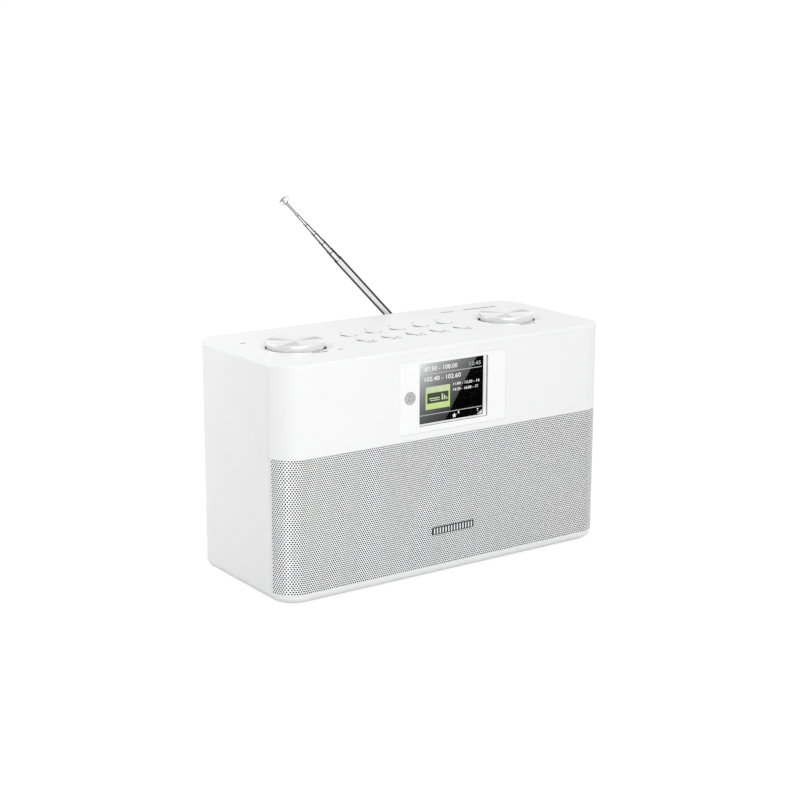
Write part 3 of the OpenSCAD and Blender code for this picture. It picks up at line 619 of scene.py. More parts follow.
def grille():
    cxr = W / 2 - R                      # where the corners start
    z0, z1 = GR_LO.z, GR_HI.z
    end = math.acos((R - (GR_HI.y - YF)) / R)
    S = cxr + R * end
    pitch, hrow = 1.711 * MM, 1.488 * MM
    rad = 0.68 * MM
    t = 0.45 * MM
    rows, cols, n0 = 64, 171, -85.5      # the top row is cut by the edge of the sheet
    zz = z0 + 0.892 * MM
    # the sheet is drawn round the corners, so its holes stand further apart there
    stretch = [(-124, -0.02), (-126, -0.05), (-128, -0.04), (-130, 0.04), (-132, 0.15), (-134, 0.31), (-136, 0.60), (-138, 0.99), (-140, 1.23), (-142, 1.37), (-144, 1.48), (-146, 1.54), (-148, 1.57), (-160, 1.6)]

    def number(s):
        """Hole number at the arc length s in millimetres."""
        a = -abs(s)
        d = 0.0
        if a < -124:
            for (p, u), (q, v) in zip(stretch, stretch[1:]):
                if q <= a <= p:
                    d = u + (v - u) * (a - p) / (q - p)
        elif a < -120:
            d = -0.02 * (-120 - a) / 4
        return (s - 0.63) / 1.711 + (d if s < 0 else -d)

    def place(n):
        lo_, hi_ = -158.0, 158.0
        for _ in range(40):
            mid = (lo_ + hi_) / 2
            if number(mid) < n:
                lo_ = mid
            else:
                hi_ = mid
        return mid * MM

    def pos(s, z, off):
        a = abs(s)
        if a <= cxr:
            return (s, YF + off, z)
        th = (a - cxr) / R
        return (math.copysign(cxr + (R - off) * math.sin(th), s), YF + R - (R - off) * math.cos(th), z)

    pts = []                              # (s, z)
    ca = [(math.cos(math.radians(30 + 60 * k)) * rad, math.sin(math.radians(30 + 60 * k)) * rad) for k in range(6)]
    row_s = [[place(n0 + c + (0.5 if odd else 0)) for c in range(cols)] for odd in (0, 1)]
    for j in range(rows):
        for c in range(cols):
            s = row_s[j % 2][c]
            z = zz + j * hrow
            pts.extend((s + a, min(z + b, z1 - 0.05 * MM)) for a, b in ca)

    def v(j, c, k):
        return (j * cols + c) * 6 + k

    front, walls = [], []
    for j in range(rows):
        odd = j % 2
        for c in range(cols):
            if c + 1 < cols:
                front.append((v(j, c, 5), v(j, c + 1, 3), v(j, c + 1, 2), v(j, c, 0)))
            if j + 1 < rows:
                cu = c + (1 if odd else 0)      # upper right
                cl = cu - 1                     # upper left
                if cu < cols:
                    front.append((v(j, c, 0), v(j + 1, cu, 4), v(j + 1, cu, 3), v(j, c, 1)))
                if cl >= 0:
                    front.append((v(j, c, 1), v(j + 1, cl, 5), v(j + 1, cl, 4), v(j, c, 2)))
                if c + 1 < cols and cu < cols:
                    front.append((v(j, c, 0), v(j, c + 1, 2), v(j + 1, cu, 4)))
            if j > 0:
                cd = c + (1 if odd else 0)      # lower right
                if c + 1 < cols and cd < cols:
                    front.append((v(j - 1, cd, 1), v(j, c + 1, 3), v(j, c, 5)))
            for k in range(6):
                walls.append((v(j, c, k), v(j, c, (k + 1) % 6)))
    # the plain margin round the holes
    bottom, top = [], []
    for c in range(cols):
        bottom += [v(0, c, 3), v(0, c, 4), v(0, c, 5)]
        top += [v(rows - 1, c, 2), v(rows - 1, c, 1), v(rows - 1, c, 0)]
    left, right = [], []
    for j in range(rows):
        first, last = j == 0, j == rows - 1
        if j % 2 == 0:
            left += ([] if first else [v(j, 0, 4)]) + [v(j, 0, 3), v(j, 0, 2)] + ([] if last else [v(j, 0, 1)])
            right += [v(j, cols - 1, 5), v(j, cols - 1, 0)]
        else:
            left += [v(j, 0, 3), v(j, 0, 2)]
            right += ([] if first else [v(j, cols - 1, 4)]) + [v(j, cols - 1, 5), v(j, cols - 1, 0)] + ([] if last else [v(j, cols - 1, 1)])

    def add(s, z):
        pts.append((s, z))
        return len(pts) - 1

    eb = [add(pts[i][0], z0) for i in bottom]
    et = [add(pts[i][0], z1) for i in top]
    el = [add(-S, pts[i][1]) for i in left]
    er = [add(S, pts[i][1]) for i in right]
    for i in range(len(bottom) - 1):
        front.append((eb[i], eb[i + 1], bottom[i + 1], bottom[i]))
        front.append((top[i], top[i + 1], et[i + 1], et[i]))
    for i in range(len(left) - 1):
        front.append((el[i + 1], el[i], left[i], left[i + 1]))
        front.append((right[i + 1], right[i], er[i], er[i + 1]))
    c00, c10, c11, c01 = add(-S, z0), add(S, z0), add(S, z1), add(-S, z1)
    front.append((c00, eb[0], left[0], el[0]))
    front.append((eb[-1], c10, er[0], right[0]))
    front.append((right[-1], er[-1], c11, et[-1]))
    front.append((el[-1], left[-1], et[0], c01))
    rim = [c00] + eb + [c10] + er + [c11] + et[::-1] + [c01] + el[::-1]
    N = len(pts)
    for side in (-1, 1):
        faces = []
        for f in front:
            m = sum(pts[i][0] for i in f) / len(f)
            if (m < 0) == (side < 0):
                faces.append(f)
                faces.append(tuple(i + N for i in reversed(f)))
        for a, b in walls:
            h0 = a - a % 6
            if ((pts[h0][0] - ca[0][0]) < 0) == (side < 0):
                faces.append((a, b, b + N, a + N))
        for a, b in zip(rim, rim[1:] + rim[:1]):
            if (pts[a][0] + pts[b][0] < 0) == (side < 0):
                faces.append((b, a, a + N, b + N))
        used = sorted({i for f in faces for i in f})
        new = {o: k for k, o in enumerate(used)}
        verts = [pos(*pts[i % N], 0 if i < N else t) for i in used]
        faces = [tuple(new[i] for i in f) for f in faces]
        o = obj("grille_left" if side < 0 else "grille_right", verts, faces, GRILLE, "cabinet", smooth=35,
                replaces=("speaker_grille",))
        o.data.materials.append(PUNCHED_SHADE)
        o.data.materials.append(MARGIN)
        for f in o.data.polygons:
            idx = [used[i] for i in f.vertices]
            if len(idx) == 4 and min(idx) < N <= max(idx) and max(i % N for i in idx) < rows * cols * 6:
                f.material_index = 1
            elif any(abs(abs(pts[i % N][0]) - S) < 1e-7 for i in idx):
                f.material_index = 2


grille()

# ---------------------------------------------------------------- knobs and keys


def lip(name, cx, cy, ri, ro, low, heights, mat):
    """Upright curved strip round (cx, cy); heights gives (azimuth in degrees, top in millimetres above the top face)."""
    verts, faces = [], []
    n_ = 0
    a0, a1 = heights[0][0], heights[-1][0]
    steps = max(6, int((a1 - a0) / 4))
    for i_ in range(steps + 1):
        a_ = a0 + (a1 - a0) * i_ / steps
        for (p_, hp), (q_, hq) in zip(heights, heights[1:]):
            if p_ <= a_ <= q_:
                top_ = hp + (hq - hp) * (a_ - p_) / (q_ - p_)
                break
        ca_, sa_ = math.cos(math.radians(a_)), math.sin(math.radians(a_))
        for rr_, zz_ in ((ri, low), (ro, low), (ro, top_), (ri, top_)):
            verts.append((cx + rr_ * ca_, cy + rr_ * sa_, ZT + zz_ * MM))
        if i_:
            b0, b1 = n_ - 4, n_
            for k_ in range(4):
                m_ = (k_ + 1) % 4
                faces.append((b0 + k_, b0 + m_, b1 + m_, b1 + k_))
        n_ += 4
    faces.append((3, 2, 1, 0))
    faces.append((n_ - 4, n_ - 3, n_ - 2, n_ - 1))
    o_ = obj(name, verts, faces, mat, "cabinet")
    bmm = bmesh.new()
    bmm.from_mesh(o_.data)
    bmesh.ops.recalc_face_normals(bmm, faces=bmm.faces[:])
    bmm.to_mesh(o_.data)
    bmm.free()
    return o_


for side in ("left", "right"):
    lo, hi = span(f"{side}_knob_cap")
    cx, cy = (lo.x + hi.x) / 2, (lo.y + hi.y) / 2
    r = (hi.x - lo.x) / 2
    h = hi.z - lo.z
    wall, roof = 1.0 * MM, 1.2 * MM
    prof = [(0, h - 0.10 * MM), (r * 0.30, h - 0.08 * MM), (r * 0.72, h - 0.02 * MM)]
    prof += [(r - 1.3 * MM, h)]
    prof += [(r - 0.55 * MM + 0.55 * MM * math.sin(math.radians(a)), h - 0.55 * MM + 0.55 * MM * math.cos(math.radians(a))) for a in (0, 15, 30, 45, 60, 75, 90)]
    skirt = -0.33 * MM                    # the rim reaches down into the dish
    prof += [(r, skirt + 0.08 * MM), (r - 0.03 * MM, skirt + 0.03 * MM), (r - 0.08 * MM, skirt)]
    prof += [(r - wall, skirt), (r - wall, h - roof), (0, h - roof)]
    prof = [(a, b) for a, b in prof][::-1]
    vs, fs = lathe(prof, 128)
    o = obj(f"{side}_knob_shell", vs, fs, SPUN_PAINTED_SHEEN, f"{side}_dial", smooth=40, replaces=(f"{side}_knob_cap",))
    o.matrix_world = Matrix.Translation((cx, cy, lo.z))

    # painted shade: two small dark pads stand in the dish beside the rim, where the gap under the rim falls in shade
    for k_, (p_, q_) in enumerate(((142.0, 160.0), (310.0, 328.0))):
        mid_ = (p_ + q_) / 2
        lip(f"{side}_dial_shade_pad_{k_ + 1}", cx, cy, r + 0.12 * MM, r + 0.75 * MM, -1.59, [(p_, -1.3), (mid_ - 2, -0.35), (mid_ + 2, -0.35), (q_, -1.3)], SHADE_SEAL)

for i in range(1, 11):
    lo, hi = span(f"button_{i}")
    cx, cy = (lo.x + hi.x) / 2, (lo.y + hi.y) / 2
    rf = (hi.x - lo.x) / 2
    r = rf - 1.1 * MM
    h = hi.z - lo.z
    up = h - (ZT - lo.z)
    body_low = h - up - 2.7 * MM
    e = 0.35 * MM
    prof = [(0, 0), (1.4 * MM, 0), (1.7 * MM, 0.3 * MM), (1.7 * MM, body_low - 0.8 * MM), (rf - 0.15 * MM, body_low - 0.8 * MM), (rf, body_low - 0.65 * MM),
            (rf, body_low - 0.15 * MM), (rf - 0.15 * MM, body_low), (r, body_low)]
    prof += [(r - e + e * math.cos(math.radians(a)), h - e + e * math.sin(math.radians(a))) for a in (0, 18, 36, 54, 72, 90)]
    prof += [(r * 0.86, h - 0.03 * MM), (r * 0.6, h - 0.12 * MM), (r * 0.3, h - 0.17 * MM), (0, h - 0.19 * MM)]
    vs, fs = lathe(prof, 72)
    o = obj(f"key_{i}", vs, fs, KEYM, f"button_{i}", smooth=40, replaces=(f"button_{i}",))
    o.matrix_world = Matrix.Translation((cx, cy, lo.z))
    # painted shade: a dark lip fills the gap and stands a little proud on one side, standing in for the shaded crescent
    # round each key
    lip(f"key_{i}_lip", cx, cy, r + 0.03 * MM, r + 0.27 * MM, -1.2,
        [(140, -0.2), (160, 0.08), (180, 0.42), (206, 0.42), (226, 0.22), (250, 0.08), (280, 0.0), (298, 0.12), (318, 0.12), (330, -0.2)], SHADE_SEAL)

# ---------------------------------------------------------------- display window
irx, irz, irr = (IR_LO.x + IR_HI.x) / 2, (IR_LO.z + IR_HI.z) / 2, (IR_HI.x - IR_LO.x) / 2
VW, VH = 60 * MM, 44.8 * MM
VZ = (LCD_LO.z + LCD_HI.z) / 2
lens_outer = rect(LENS_LO.x, LENS_LO.z, LENS_HI.x, LENS_HI.z, 0.6 * MM)
hole = rect(-VW / 2, VZ - VH / 2, VW / 2, VZ + VH / 2, 0.4 * MM)
slab("window_border", [lens_outer, hole[::-1], circle(irx, irz, irr)[::-1]], YF + 0.02 * MM, LENS_HI.y, PANELM, "cabinet", bevel=0.12 * MM,
     replaces=("display_lens",), slot="gloss_plastic_white")
slab("window_pane", [rect(-VW / 2 + 0.15 * MM, VZ - VH / 2 + 0.15 * MM, VW / 2 - 0.15 * MM, VZ + VH / 2 - 0.15 * MM, 0.3 * MM)], YF + 0.35 * MM, YF + 0.95 * MM, CLEAR, "cabinet",
     bevel=0.05 * MM, replaces=("display_lens",), slot="window_acrylic")

# painted shade: a grey ring at the front of the opening stands in for the shade line along its edge
slab("window_shade_gasket", [rect(-VW / 2 + 0.02 * MM, VZ - VH / 2 + 0.02 * MM, VW / 2 - 0.02 * MM, VZ + VH / 2 - 0.02 * MM, 0.4 * MM),
                       rect(-VW / 2 + 0.14 * MM, VZ - VH / 2 + 0.14 * MM, VW / 2 - 0.14 * MM, VZ + VH / 2 - 0.14 * MM, 0.3 * MM)[::-1]],
     YF + 0.25 * MM, YF + 1.8 * MM, SHADE_GASKET, "cabinet", slot="black_plastic")
# painted light: the lining glows to stay bright inside the shaded opening
slab("window_liner_glow", [rect(-VW / 2 + 0.02 * MM, VZ - VH / 2 + 0.02 * MM, VW / 2 - 0.02 * MM, VZ + VH / 2 - 0.02 * MM, 0.4 * MM),
                      rect(-VW / 2 + 0.14 * MM, VZ - VH / 2 + 0.14 * MM, VW / 2 - 0.14 * MM, VZ + VH / 2 - 0.14 * MM, 0.3 * MM)[::-1]],
     YF + 1.85 * MM, LCD_FACE_Y - 0.03 * MM, LINER, "cabinet", slot="gloss_plastic_white")

# what the display shows: a clock, lines of figures, a picture tile with plain bars, a star and a signal mark
WHITE = lit("lcd_white", (0.86, 0.86, 0.86))
BRIGHT = lit("lcd_bright", (1.0, 1.0, 1.0))
SOFT = lit("lcd_grey", (0.33, 0.33, 0.33))
PALE = lit("lcd_pale", (0.62, 0.62, 0.62))
GREEN = lit("lcd_green", (0.55, 0.74, 0.27))
GREENP = lit("lcd_green_pale", (0.60, 0.70, 0.45))
DARKG = lit("lcd_dark_green", (0.045, 0.055, 0.035))
yl = LCD_FACE_Y + 0.22 * MM
DZ = ZT - 167 * MM                     # the cabinet's underside


def patch(name, loops, mat, dy=0.0):
    loops = [[(a * MM, b * MM + DZ) for a, b in lp] for lp in loops]
    return slab(name, loops, yl - 0.05 * MM - dy, yl + 0.05 * MM - dy, mat, "cabinet", slot="lcd_black")


def many(name, boxes, mat, r=0.25, dy=0.0):
    """Several little rounded blocks as one piece."""
    verts, faces = [], []
    for x0, z0, x1, z1 in boxes:
        lp = rect(x0, z0, x1, z1, min(r, (x1 - x0) / 2.05, (z1 - z0) / 2.05), 3)
        base = len(verts)
        k = len(lp)
        for y in (yl - 0.05 * MM - dy, yl + 0.05 * MM - dy):
            verts += [(a * MM, y, b * MM + DZ) for a, b in lp]
        faces.append(tuple(range(base, base + k)))
        faces.append(tuple(range(base + 2 * k - 1, base + k - 1, -1)))
        for i in range(k):
            j = (i + 1) % k
            faces.append((base + j, base + i, base + k + i, base + k + j))
    return obj(name, verts, faces, mat, "cabinet")


many("lcd_rule_top", [(-29.0, 146.55, 28.9, 146.95)], PALE, r=0.05)
many("lcd_rule_bottom", [(-29.0, 117.35, 28.9, 117.75)], PALE, r=0.05)


many("lcd_tile", [(-20.7, 121.2, 0.5, 137.5)], GREEN, r=0.3)
many("lcd_tile_top", [(-20.7, 133.6, 0.5, 137.5)], GREENP, r=0.3, dy=0.03 * MM)
many("lcd_tile_band", [(-19.4, 125.5, -0.9, 133.0)], DARKG, r=0.3, dy=0.06 * MM)
many("lcd_tile_bars", [(-17.8, 128.6, -8.6, 129.4), (-16.8, 127.2, -8.6, 127.8), (-6.9, 127.0, -5.6, 131.6), (-4.9, 127.0, -3.6, 130.2), (-2.9, 127.0, -1.9, 128.8)], GREENP, r=0.2, dy=0.09 * MM)
many("lcd_signal", [(25.2, 111.9, 26.0, 112.6), (26.3, 111.9, 27.1, 113.3), (27.4, 111.9, 28.2, 114.1), (28.5, 111.9, 29.2, 114.9), (25.2, 114.2, 25.5, 116.2), (24.6, 116.0, 26.1, 116.4)], WHITE, r=0.1)
star = []
for i in range(10):
    rr_ = 2.05 if i % 2 == 0 else 0.9
    a = math.radians(90 + 36 * i)
    star.append((4.6 + rr_ * math.cos(a), 114.0 + rr_ * math.sin(a)))
patch("lcd_star", [star], WHITE)


def text_mesh(name, body_text, size, mat, mw, body, extrude=0.00002, bold=0.0):
    cu = bpy.data.curves.new(name + "_t", "FONT")
    cu.offset = bold
    cu.body = body_text
    cu.size = size
    cu.align_x = "CENTER"
    cu.align_y = "CENTER"
    cu.extrude = extrude
    tmp = bpy.data.objects.new(name + "_t", cu)
    bpy.context.scene.collection.objects.link(tmp)
    dg = bpy.context.evaluated_depsgraph_get()
    me = bpy.data.meshes.new_from_object(tmp.evaluated_get(dg))
    bpy.data.objects.remove(tmp)
    me.name = name
    me.transform(mw)
    me.materials.clear()
    me.materials.append(mat)
    o = bpy.data.objects.new(name, me)
    bpy.context.scene.collection.objects.link(o)
    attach(o, body)
    return o




def figures(name, txt, x0, z0, x1, z1, mat, bold=0.0):
    """A line of figures on the display that fills the box x0, z0, x1, z1 in millimetres."""
    o = text_mesh(name, txt, 1.0, mat, Matrix.Identity(4), "cabinet", extrude=0.0, bold=bold)
    vs_ = [v.co.copy() for v in o.data.vertices]
    ax, bx_ = min(v.x for v in vs_), max(v.x for v in vs_)
    ay, by_ = min(v.y for v in vs_), max(v.y for v in vs_)
    for v in o.data.vertices:
        u, w_ = (v.co.x - ax) / (bx_ - ax), (v.co.y - ay) / (by_ - ay)
        v.co = Vector(((x0 + u * (x1 - x0)) * MM, yl, (z0 + w_ * (z1 - z0)) * MM + DZ))
    solid = bmesh.new()
    solid.from_mesh(o.data)
    ex = bmesh.ops.extrude_face_region(solid, geom=solid.faces[:])
    for g in ex["geom"]:
        if isinstance(g, bmesh.types.BMVert):
            g.co.y -= 0.04 * MM
    bmesh.ops.recalc_face_normals(solid, faces=solid.faces[:])
    solid.to_mesh(o.data)
    solid.free()
    return o


figures("lcd_clock", "12:45", 17.6, 148.6, 27.6, 151.3, PALE)
figures("lcd_header", "87.50 - 108.00", -21.8, 148.9, 6.8, 152.0, BRIGHT, bold=0.006)
figures("lcd_title", "102.40 - 102.60", -21.6, 141.6, 9.9, 144.8, BRIGHT, bold=0.010)
figures("lcd_line_1", "11:00 - 12:30 - 14", 3.2, 136.1, 26.5, 138.1, BRIGHT, bold=0.012)
figures("lcd_line_2", "14:30 - 16:00 - 17", 3.4, 132.0, 25.5, 134.0, BRIGHT, bold=0.012)
figures("lcd_preset", "1", 7.8, 114.9, 8.8, 116.9, WHITE)

# ---------------------------------------------------------------- badge on the grille: a dark plate with a row of plain bright blocks
slab("badge", [rect(BADGE_LO.x, BADGE_LO.z + 0.3 * MM, BADGE_HI.x, BADGE_HI.z - 0.3 * MM, 1.0 * MM, 8)], YF - 0.28 * MM, YF, BADGE, "cabinet", bevel=0.08 * MM, replaces=("name_badge",), slot="badge_aluminium")
bn = 14
bp = (BADGE_HI.x - BADGE_LO.x - 1.6 * MM) / bn
for i in range(bn):
    bx0 = BADGE_LO.x + 0.8 * MM + (i + 0.5) * bp - 0.55 * MM
    slab(f"badge_block_{i + 1}", [rect(bx0, BADGE_LO.z + 1.0 * MM, bx0 + 1.1 * MM, BADGE_HI.z - 1.0 * MM, 0.3 * MM, 4)], YF - 0.5 * MM, YF - 0.25 * MM, BADGEL, "cabinet", bevel=0.08 * MM,
         replaces=("name_badge",), slot="badge_aluminium")

# ---------------------------------------------------------------- printed marks on the top


def top_marks(name, boxes, mat=PRINT, r=0.2):
    """Small flat marks on the top panel; boxes are x0, y0, x1, y1 in millimetres."""
    verts, faces = [], []
    for x0, y0, x1, y1 in boxes:
        lp = rect(x0, y0, x1, y1, min(r, (x1 - x0) / 2.05, (y1 - y0) / 2.05), 3)
        base, k = len(verts), len(lp)
        for z in (ZT - 0.03 * MM, ZT + 0.02 * MM):
            verts += [(a * MM, b * MM, z) for a, b in lp]
        faces.append(tuple(range(base + k - 1, base - 1, -1)))
        faces.append(tuple(range(base + k, base + 2 * k)))
        for i in range(k):
            j = (i + 1) % k
            faces.append((base + i, base + j, base + k + j, base + k + i))
    return obj(name, verts, faces, mat, "cabinet")


for i in range(1, 6):
    lo, hi = span(f"button_{i}")
    cx, cy = (lo.x + hi.x) / 2, (lo.y + hi.y) / 2
    text_mesh(f"mark_preset_{i}", str(i), 4.2 * MM, PRINT, Matrix.Translation((cx, cy + 10.6 * MM, ZT + 0.01 * MM)), "cabinet")
for i in range(6, 11):
    lo, hi = span(f"button_{i}")
    cx, cy = (lo.x + hi.x) / 2 / MM, (lo.y + hi.y) / 2 / MM
    y0, y1 = cy - 9.9, cy - 8.3
    cuts = {6: [(-4.5, 4.5)], 7: [(-4.5, -0.6), (0.6, 4.5)], 8: [(-4.5, -2.2), (-1.1, 1.1), (2.2, 4.5)],
            9: [(-4.5, 1.0), (2.2, 4.5)], 10: [(-4.5, -2.2), (-1.0, 4.5)]}[i]
    top_marks(f"mark_key_{i}", [(cx + a, y0, cx + b, y1) for a, b in cuts], PRINTL)


def dial_marks(name, x0, x1, y0, y1, h, n=7, mat=PRINT):
    """A row of bars that climbs from left to right, like a level scale."""
    st = (x1 - x0) / n
    top_marks(name, [(x0 + k * st, y0 + (y1 - y0) * k / (n - 1) - h / 2, x0 + (k + 0.78) * st, y0 + (y1 - y0) * k / (n - 1) + h / 2) for k in range(n)], mat)


dial_marks("mark_left_dial", -98.0, -85.3, -29.7, -30.2, 1.9)
dial_marks("mark_right_dial", 84.2, 98.3, -29.6, -30.4, 1.9)
top_marks("mark_left_a", [(-122.6, 24.8, -118.6, 26.4)])
top_marks("mark_left_b", [(-76.8, -30.3, -73.0, -29.0)])
dial_marks("mark_back_right", 85.2, 115.5, 41.6, 40.0, 2.4, 9)
top_marks("mark_back_middle", [(63.0, 40.3, 67.2, 42.2), (68.0, 39.6, 71.6, 42.4), (72.4, 39.8, 74.8, 41.6)], PRINTL)

# ---------------------------------------------------------------- antenna
jn = {j["name"]: j for j in REC["behaviour"]["joints"]}
PIV = Vector(jn["antenna_swing"]["pos_m"])
U = Vector(jn["antenna_slide_2"]["axis"]).normalized()
VX = -Vector(jn["antenna_elbow"]["axis"]).normalized()
VY = U.cross(VX)
ANT = Matrix(((VX.x, VY.x, U.x, PIV.x), (VX.y, VY.y, U.y, PIV.y), (VX.z, VY.z, U.z, PIV.z), (0, 0, 0, 1)))
rads = [3.1, 2.7, 2.3, 1.9, 1.5, 1.15, 0.85]
bores = [2.75, 2.35, 1.95, 1.55, 1.2, 0.9]
lens_ = [0, 100, 97, 94, 91, 88, 85]


def along(node):
    """Lowest and highest distance of a node along the antenna from the elbow, in millimetres."""
    d = [(Vector(v.co) - PIV).dot(U) for v in NODES[node].data.vertices]
    return min(d) / MM, max(d) / MM


for k in range(2, 7):
    a, b = along(f"antenna_section_{k}")
    ro, ri = rads[k - 1], bores[k - 1]
    # drawn tube with a rolled lip at the mouth and a shallow crimp just below it
    prof = [(ri, a), (ro, a), (ro, b - 2.3), (ro - 0.10, b - 2.0), (ro - 0.10, b - 1.5), (ro, b - 1.2), (ro, b - 0.35), (ro - 0.08, b - 0.1), (ro - 0.2, b), (ri, b)]
    prof = [(x * MM, z * MM) for x, z in prof]
    vs, fs = tube_faces(prof, 40, ANT)
    obj(f"antenna_tube_{k}", vs, fs, CHROMET, f"section_{k}", smooth=35, replaces=(f"antenna_section_{k}",))
a, b = along("antenna_section_7")
prof = [(0, a), (0.7, a), (0.85, a + 0.2), (0.85, b - 0.2), (0.7, b), (0, b)]
vs, fs = lathe([(x * MM, z * MM) for x, z in prof], 32, ANT)
obj("antenna_rod", vs, fs, CHROMET, "section_7", smooth=35, replaces=("antenna_section_7",))
a, b = along("antenna_tip")
prof = [(0.86, 1.4), (0.86, 0), (1.1, 0), (1.3, 0.1), (1.5, 0.5), (1.75, 0.9), (2.1, 1.25), (2.6, 1.75), (3.2, 2.35), (3.7, 2.85)]
prof += [(3.9, 3.1), (3.9, 3.4), (3.78, 3.7), (3.3, 4.1), (2.6, 4.5), (1.7, 4.8), (0.8, 4.95), (0, 5.0)]
prof = [(0, 1.4)] + prof
vs, fs = lathe([(x * MM, (z + a) * MM) for x, z in prof], 64, ANT)
obj("antenna_cap", vs, fs, CHROMEC, "section_7", smooth=40, replaces=("antenna_tip",))
NODES["antenna_section_1"].data.materials[0] = CHROME

# ---------------------------------------------------------------- floor, light and camera
fl = bmesh.new()
bmesh.ops.create_grid(fl, x_segments=16, y_segments=16, size=90.0)
me = bpy.data.meshes.new("floor")
fl.to_mesh(me)
me2 = bpy.data.meshes.new("floor_bounce")
fl.to_mesh(me2)
fl.free()
floor = bpy.data.objects.new("floor", me)
bpy.context.scene.collection.objects.link(floor)
floor.location.z = -0.0002
# the floor that is seen is lit from below, as on a product table, and the one just under it
# takes the shadows and throws soft light back at the object
floor.visible_diffuse = False
floor.visible_shadow = False
bounce = bpy.data.objects.new("floor_bounce", me2)
bpy.context.scene.collection.objects.link(bounce)
bounce.location.z = -0.0006
bounce.visible_camera = False
bounce.visible_glossy = False
bm_ = Mat("floor_bounce_white", 0.9, 0.0, 0.0)
nb = bm_.noise(3.0, 2.0)
bm_.colour(bm_.ramp(nb, [(0.3, (0.70, 0.70, 0.70)), (0.7, (0.72, 0.72, 0.72))]))
me2.materials.append(bm_.m)
fm = Mat("floor_white", 0.8, 0.0, 0.0)
nz = fm.noise(3.0, 2.0)
fm.colour(fm.ramp(nz, [(0.3, (0.075, 0.075, 0.075)), (0.7, (0.085, 0.085, 0.085))]))
fm.link(fm.ramp(nz, [(0.3, (0.985, 0.985, 0.985)), (0.7, (1.0, 1.0, 1.0))]), fm.b.inputs["Emission Color"])
fm.b.inputs["Emission Strength"].default_value = FLOOR_GLOW
me.materials.append(fm.m)

w = bpy.data.worlds.new("studio")
bpy.context.scene.world = w
w.use_nodes = True
nt = w.node_tree
bg = nt.nodes["Background"]
WL = nt.links.new


def wm(op, a, b=None, clamp=False):
    x = nt.nodes.new("ShaderNodeMath")
    x.operation = op
    x.use_clamp = clamp
    for i, v in enumerate((a, b)):
        if v is None:
            continue
        if isinstance(v, (int, float)):
            x.inputs[i].default_value = v
        else:
            WL(v, x.inputs[i])
    return x.outputs[0]


def step(v, a, b, lo=0.0, hi=1.0):
    x = nt.nodes.new("ShaderNodeMapRange")
    x.interpolation_type = "SMOOTHSTEP"
    x.inputs["From Min"].default_value = a
    x.inputs["From Max"].default_value = b
    x.inputs["To Min"].default_value = lo
    x.inputs["To Max"].default_value = hi
    WL(v, x.inputs["Value"])
    return x.outputs["Result"]


tc = nt.nodes.new("ShaderNodeTexCoord")
sp = nt.nodes.new("ShaderNodeSeparateXYZ")
WL(tc.outputs["Generated"], sp.inputs[0])
wx, wy, wz = sp.outputs[0], sp.outputs[1], sp.outputs[2]
hor = wm("MAXIMUM", wm("SQRT", wm("ADD", wm("MULTIPLY", wx, wx), wm("MULTIPLY", wy, wy))), 0.001)
across = wm("DIVIDE", wm("SUBTRACT", wm("MULTIPLY", wx, 0.819), wm("MULTIPLY", wy, 0.574)), hor)
ahead = wm("DIVIDE", wm("ADD", wm("MULTIPLY", wx, 0.574), wm("MULTIPLY", wy, 0.819)), hor)
# two darker flags behind the product, left and right of the middle, for contrast on the metal
flag_l = wm("MULTIPLY", step(wm("MULTIPLY", across, -1.0), 0.34, 0.52), FLAG_LEFT)
flag_r = wm("MULTIPLY", step(across, 0.34, 0.52), FLAG_RIGHT)
flags = wm("MULTIPLY", wm("MULTIPLY", wm("ADD", flag_l, flag_r), step(ahead, 0.06, 0.25)), step(wz, 0.55, 0.8, 1.0, 0.0))
flags = wm("SUBTRACT", 1.0, flags)
left = step(wm("MULTIPLY", wx, -1.0), 0.25, 0.95, 1.0, WORLD_LEFT)
up = step(wz, 0.35, 0.95, 1.0, WORLD_TOP)
front = step(wm("MULTIPLY", wy, -1.0), 0.05, 0.7, 1.0, WORLD_FRONT)
lum = wm("MULTIPLY", wm("MULTIPLY", wm("MULTIPLY", flags, left), up), front)
comb = nt.nodes.new("ShaderNodeCombineColor")
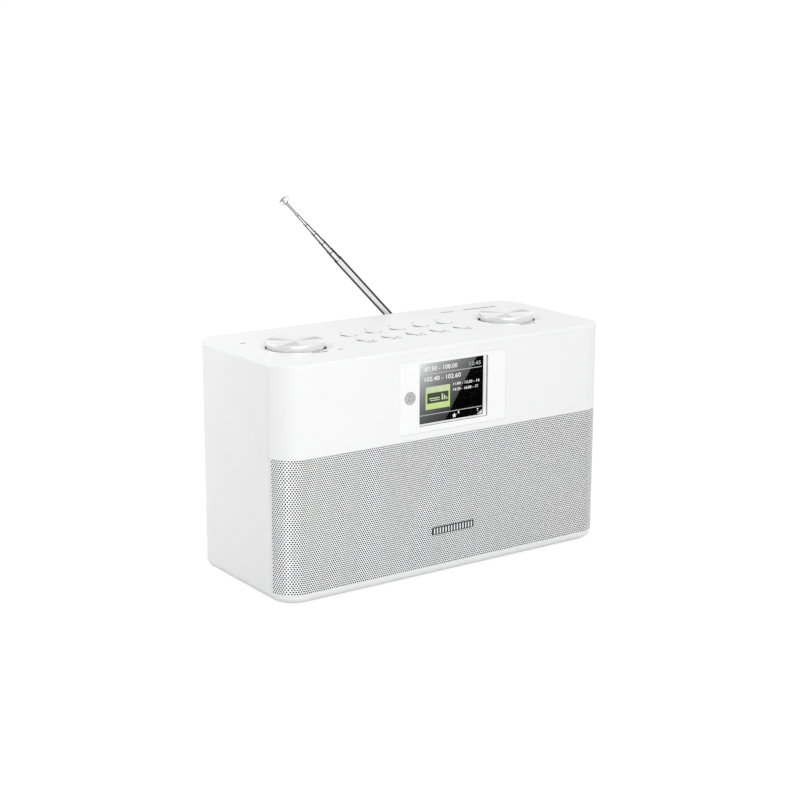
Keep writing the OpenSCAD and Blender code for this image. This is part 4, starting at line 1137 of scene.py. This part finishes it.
WL(lum, comb.inputs[0])
WL(lum, comb.inputs[1])
WL(wm("MULTIPLY", lum, 1.004), comb.inputs[2])
WL(comb.outputs[0], bg.inputs["Color"])
bg.inputs["Strength"].default_value = WORLD


def area(name, loc, target, size, power, size_y=None):
    d = bpy.data.lights.new(name, "AREA")
    d.shape = "RECTANGLE"
    d.size = size
    d.size_y = size_y or size
    d.energy = power
    o = bpy.data.objects.new(name, d)
    bpy.context.scene.collection.objects.link(o)
    o.location = loc
    o.rotation_mode = "QUATERNION"
    o.rotation_quaternion = (Vector(target) - Vector(loc)).to_track_quat("-Z", "Y")
    o.visible_camera = False
    return o


area("softbox_top", (0.1, -0.2, 2.0), (0, 0, 0.1), 1.8, SOFT_TOP)
area("softbox_front", (-0.55, -1.25, 0.55), (-0.05, 0, 0.1), 0.7, SOFT_FRONT)
area("softbox_side", (-0.40, 0.36, 0.28), (-0.14, 0.05, 0.10), 0.30, SOFT_SIDE)

cam_d = bpy.data.cameras.new("camera")
cam = bpy.data.objects.new("camera", cam_d)
bpy.context.scene.collection.objects.link(cam)
bpy.context.scene.camera = cam
cam_d.sensor_width = 36.0
cam_d.lens = 77.453
cam_d.clip_start, cam_d.clip_end = 0.02, 200.0
az, el_, roll = math.radians(-35.0247), math.radians(13.5015), math.radians(0.16607)
back = Vector((math.sin(az) * math.cos(el_), -math.cos(az) * math.cos(el_), math.sin(el_)))
cx_ = Vector((0, 0, 1)).cross(back).normalized()
cy_ = back.cross(cx_)
c2 = math.cos(roll) * cx_ + math.sin(roll) * cy_
c3 = -math.sin(roll) * cx_ + math.cos(roll) * cy_
loc = Vector((-0.709539, -1.006837, 0.410584 + DZ))
cam.matrix_world = Matrix(((c2.x, c3.x, back.x, loc.x), (c2.y, c3.y, back.y, loc.y), (c2.z, c3.z, back.z, loc.z), (0, 0, 0, 1)))

sc = bpy.context.scene
sc.view_settings.view_transform = "Standard"
sc.view_settings.look = "None"
sc.view_settings.exposure = 0.0
sc.view_settings.gamma = 1.0
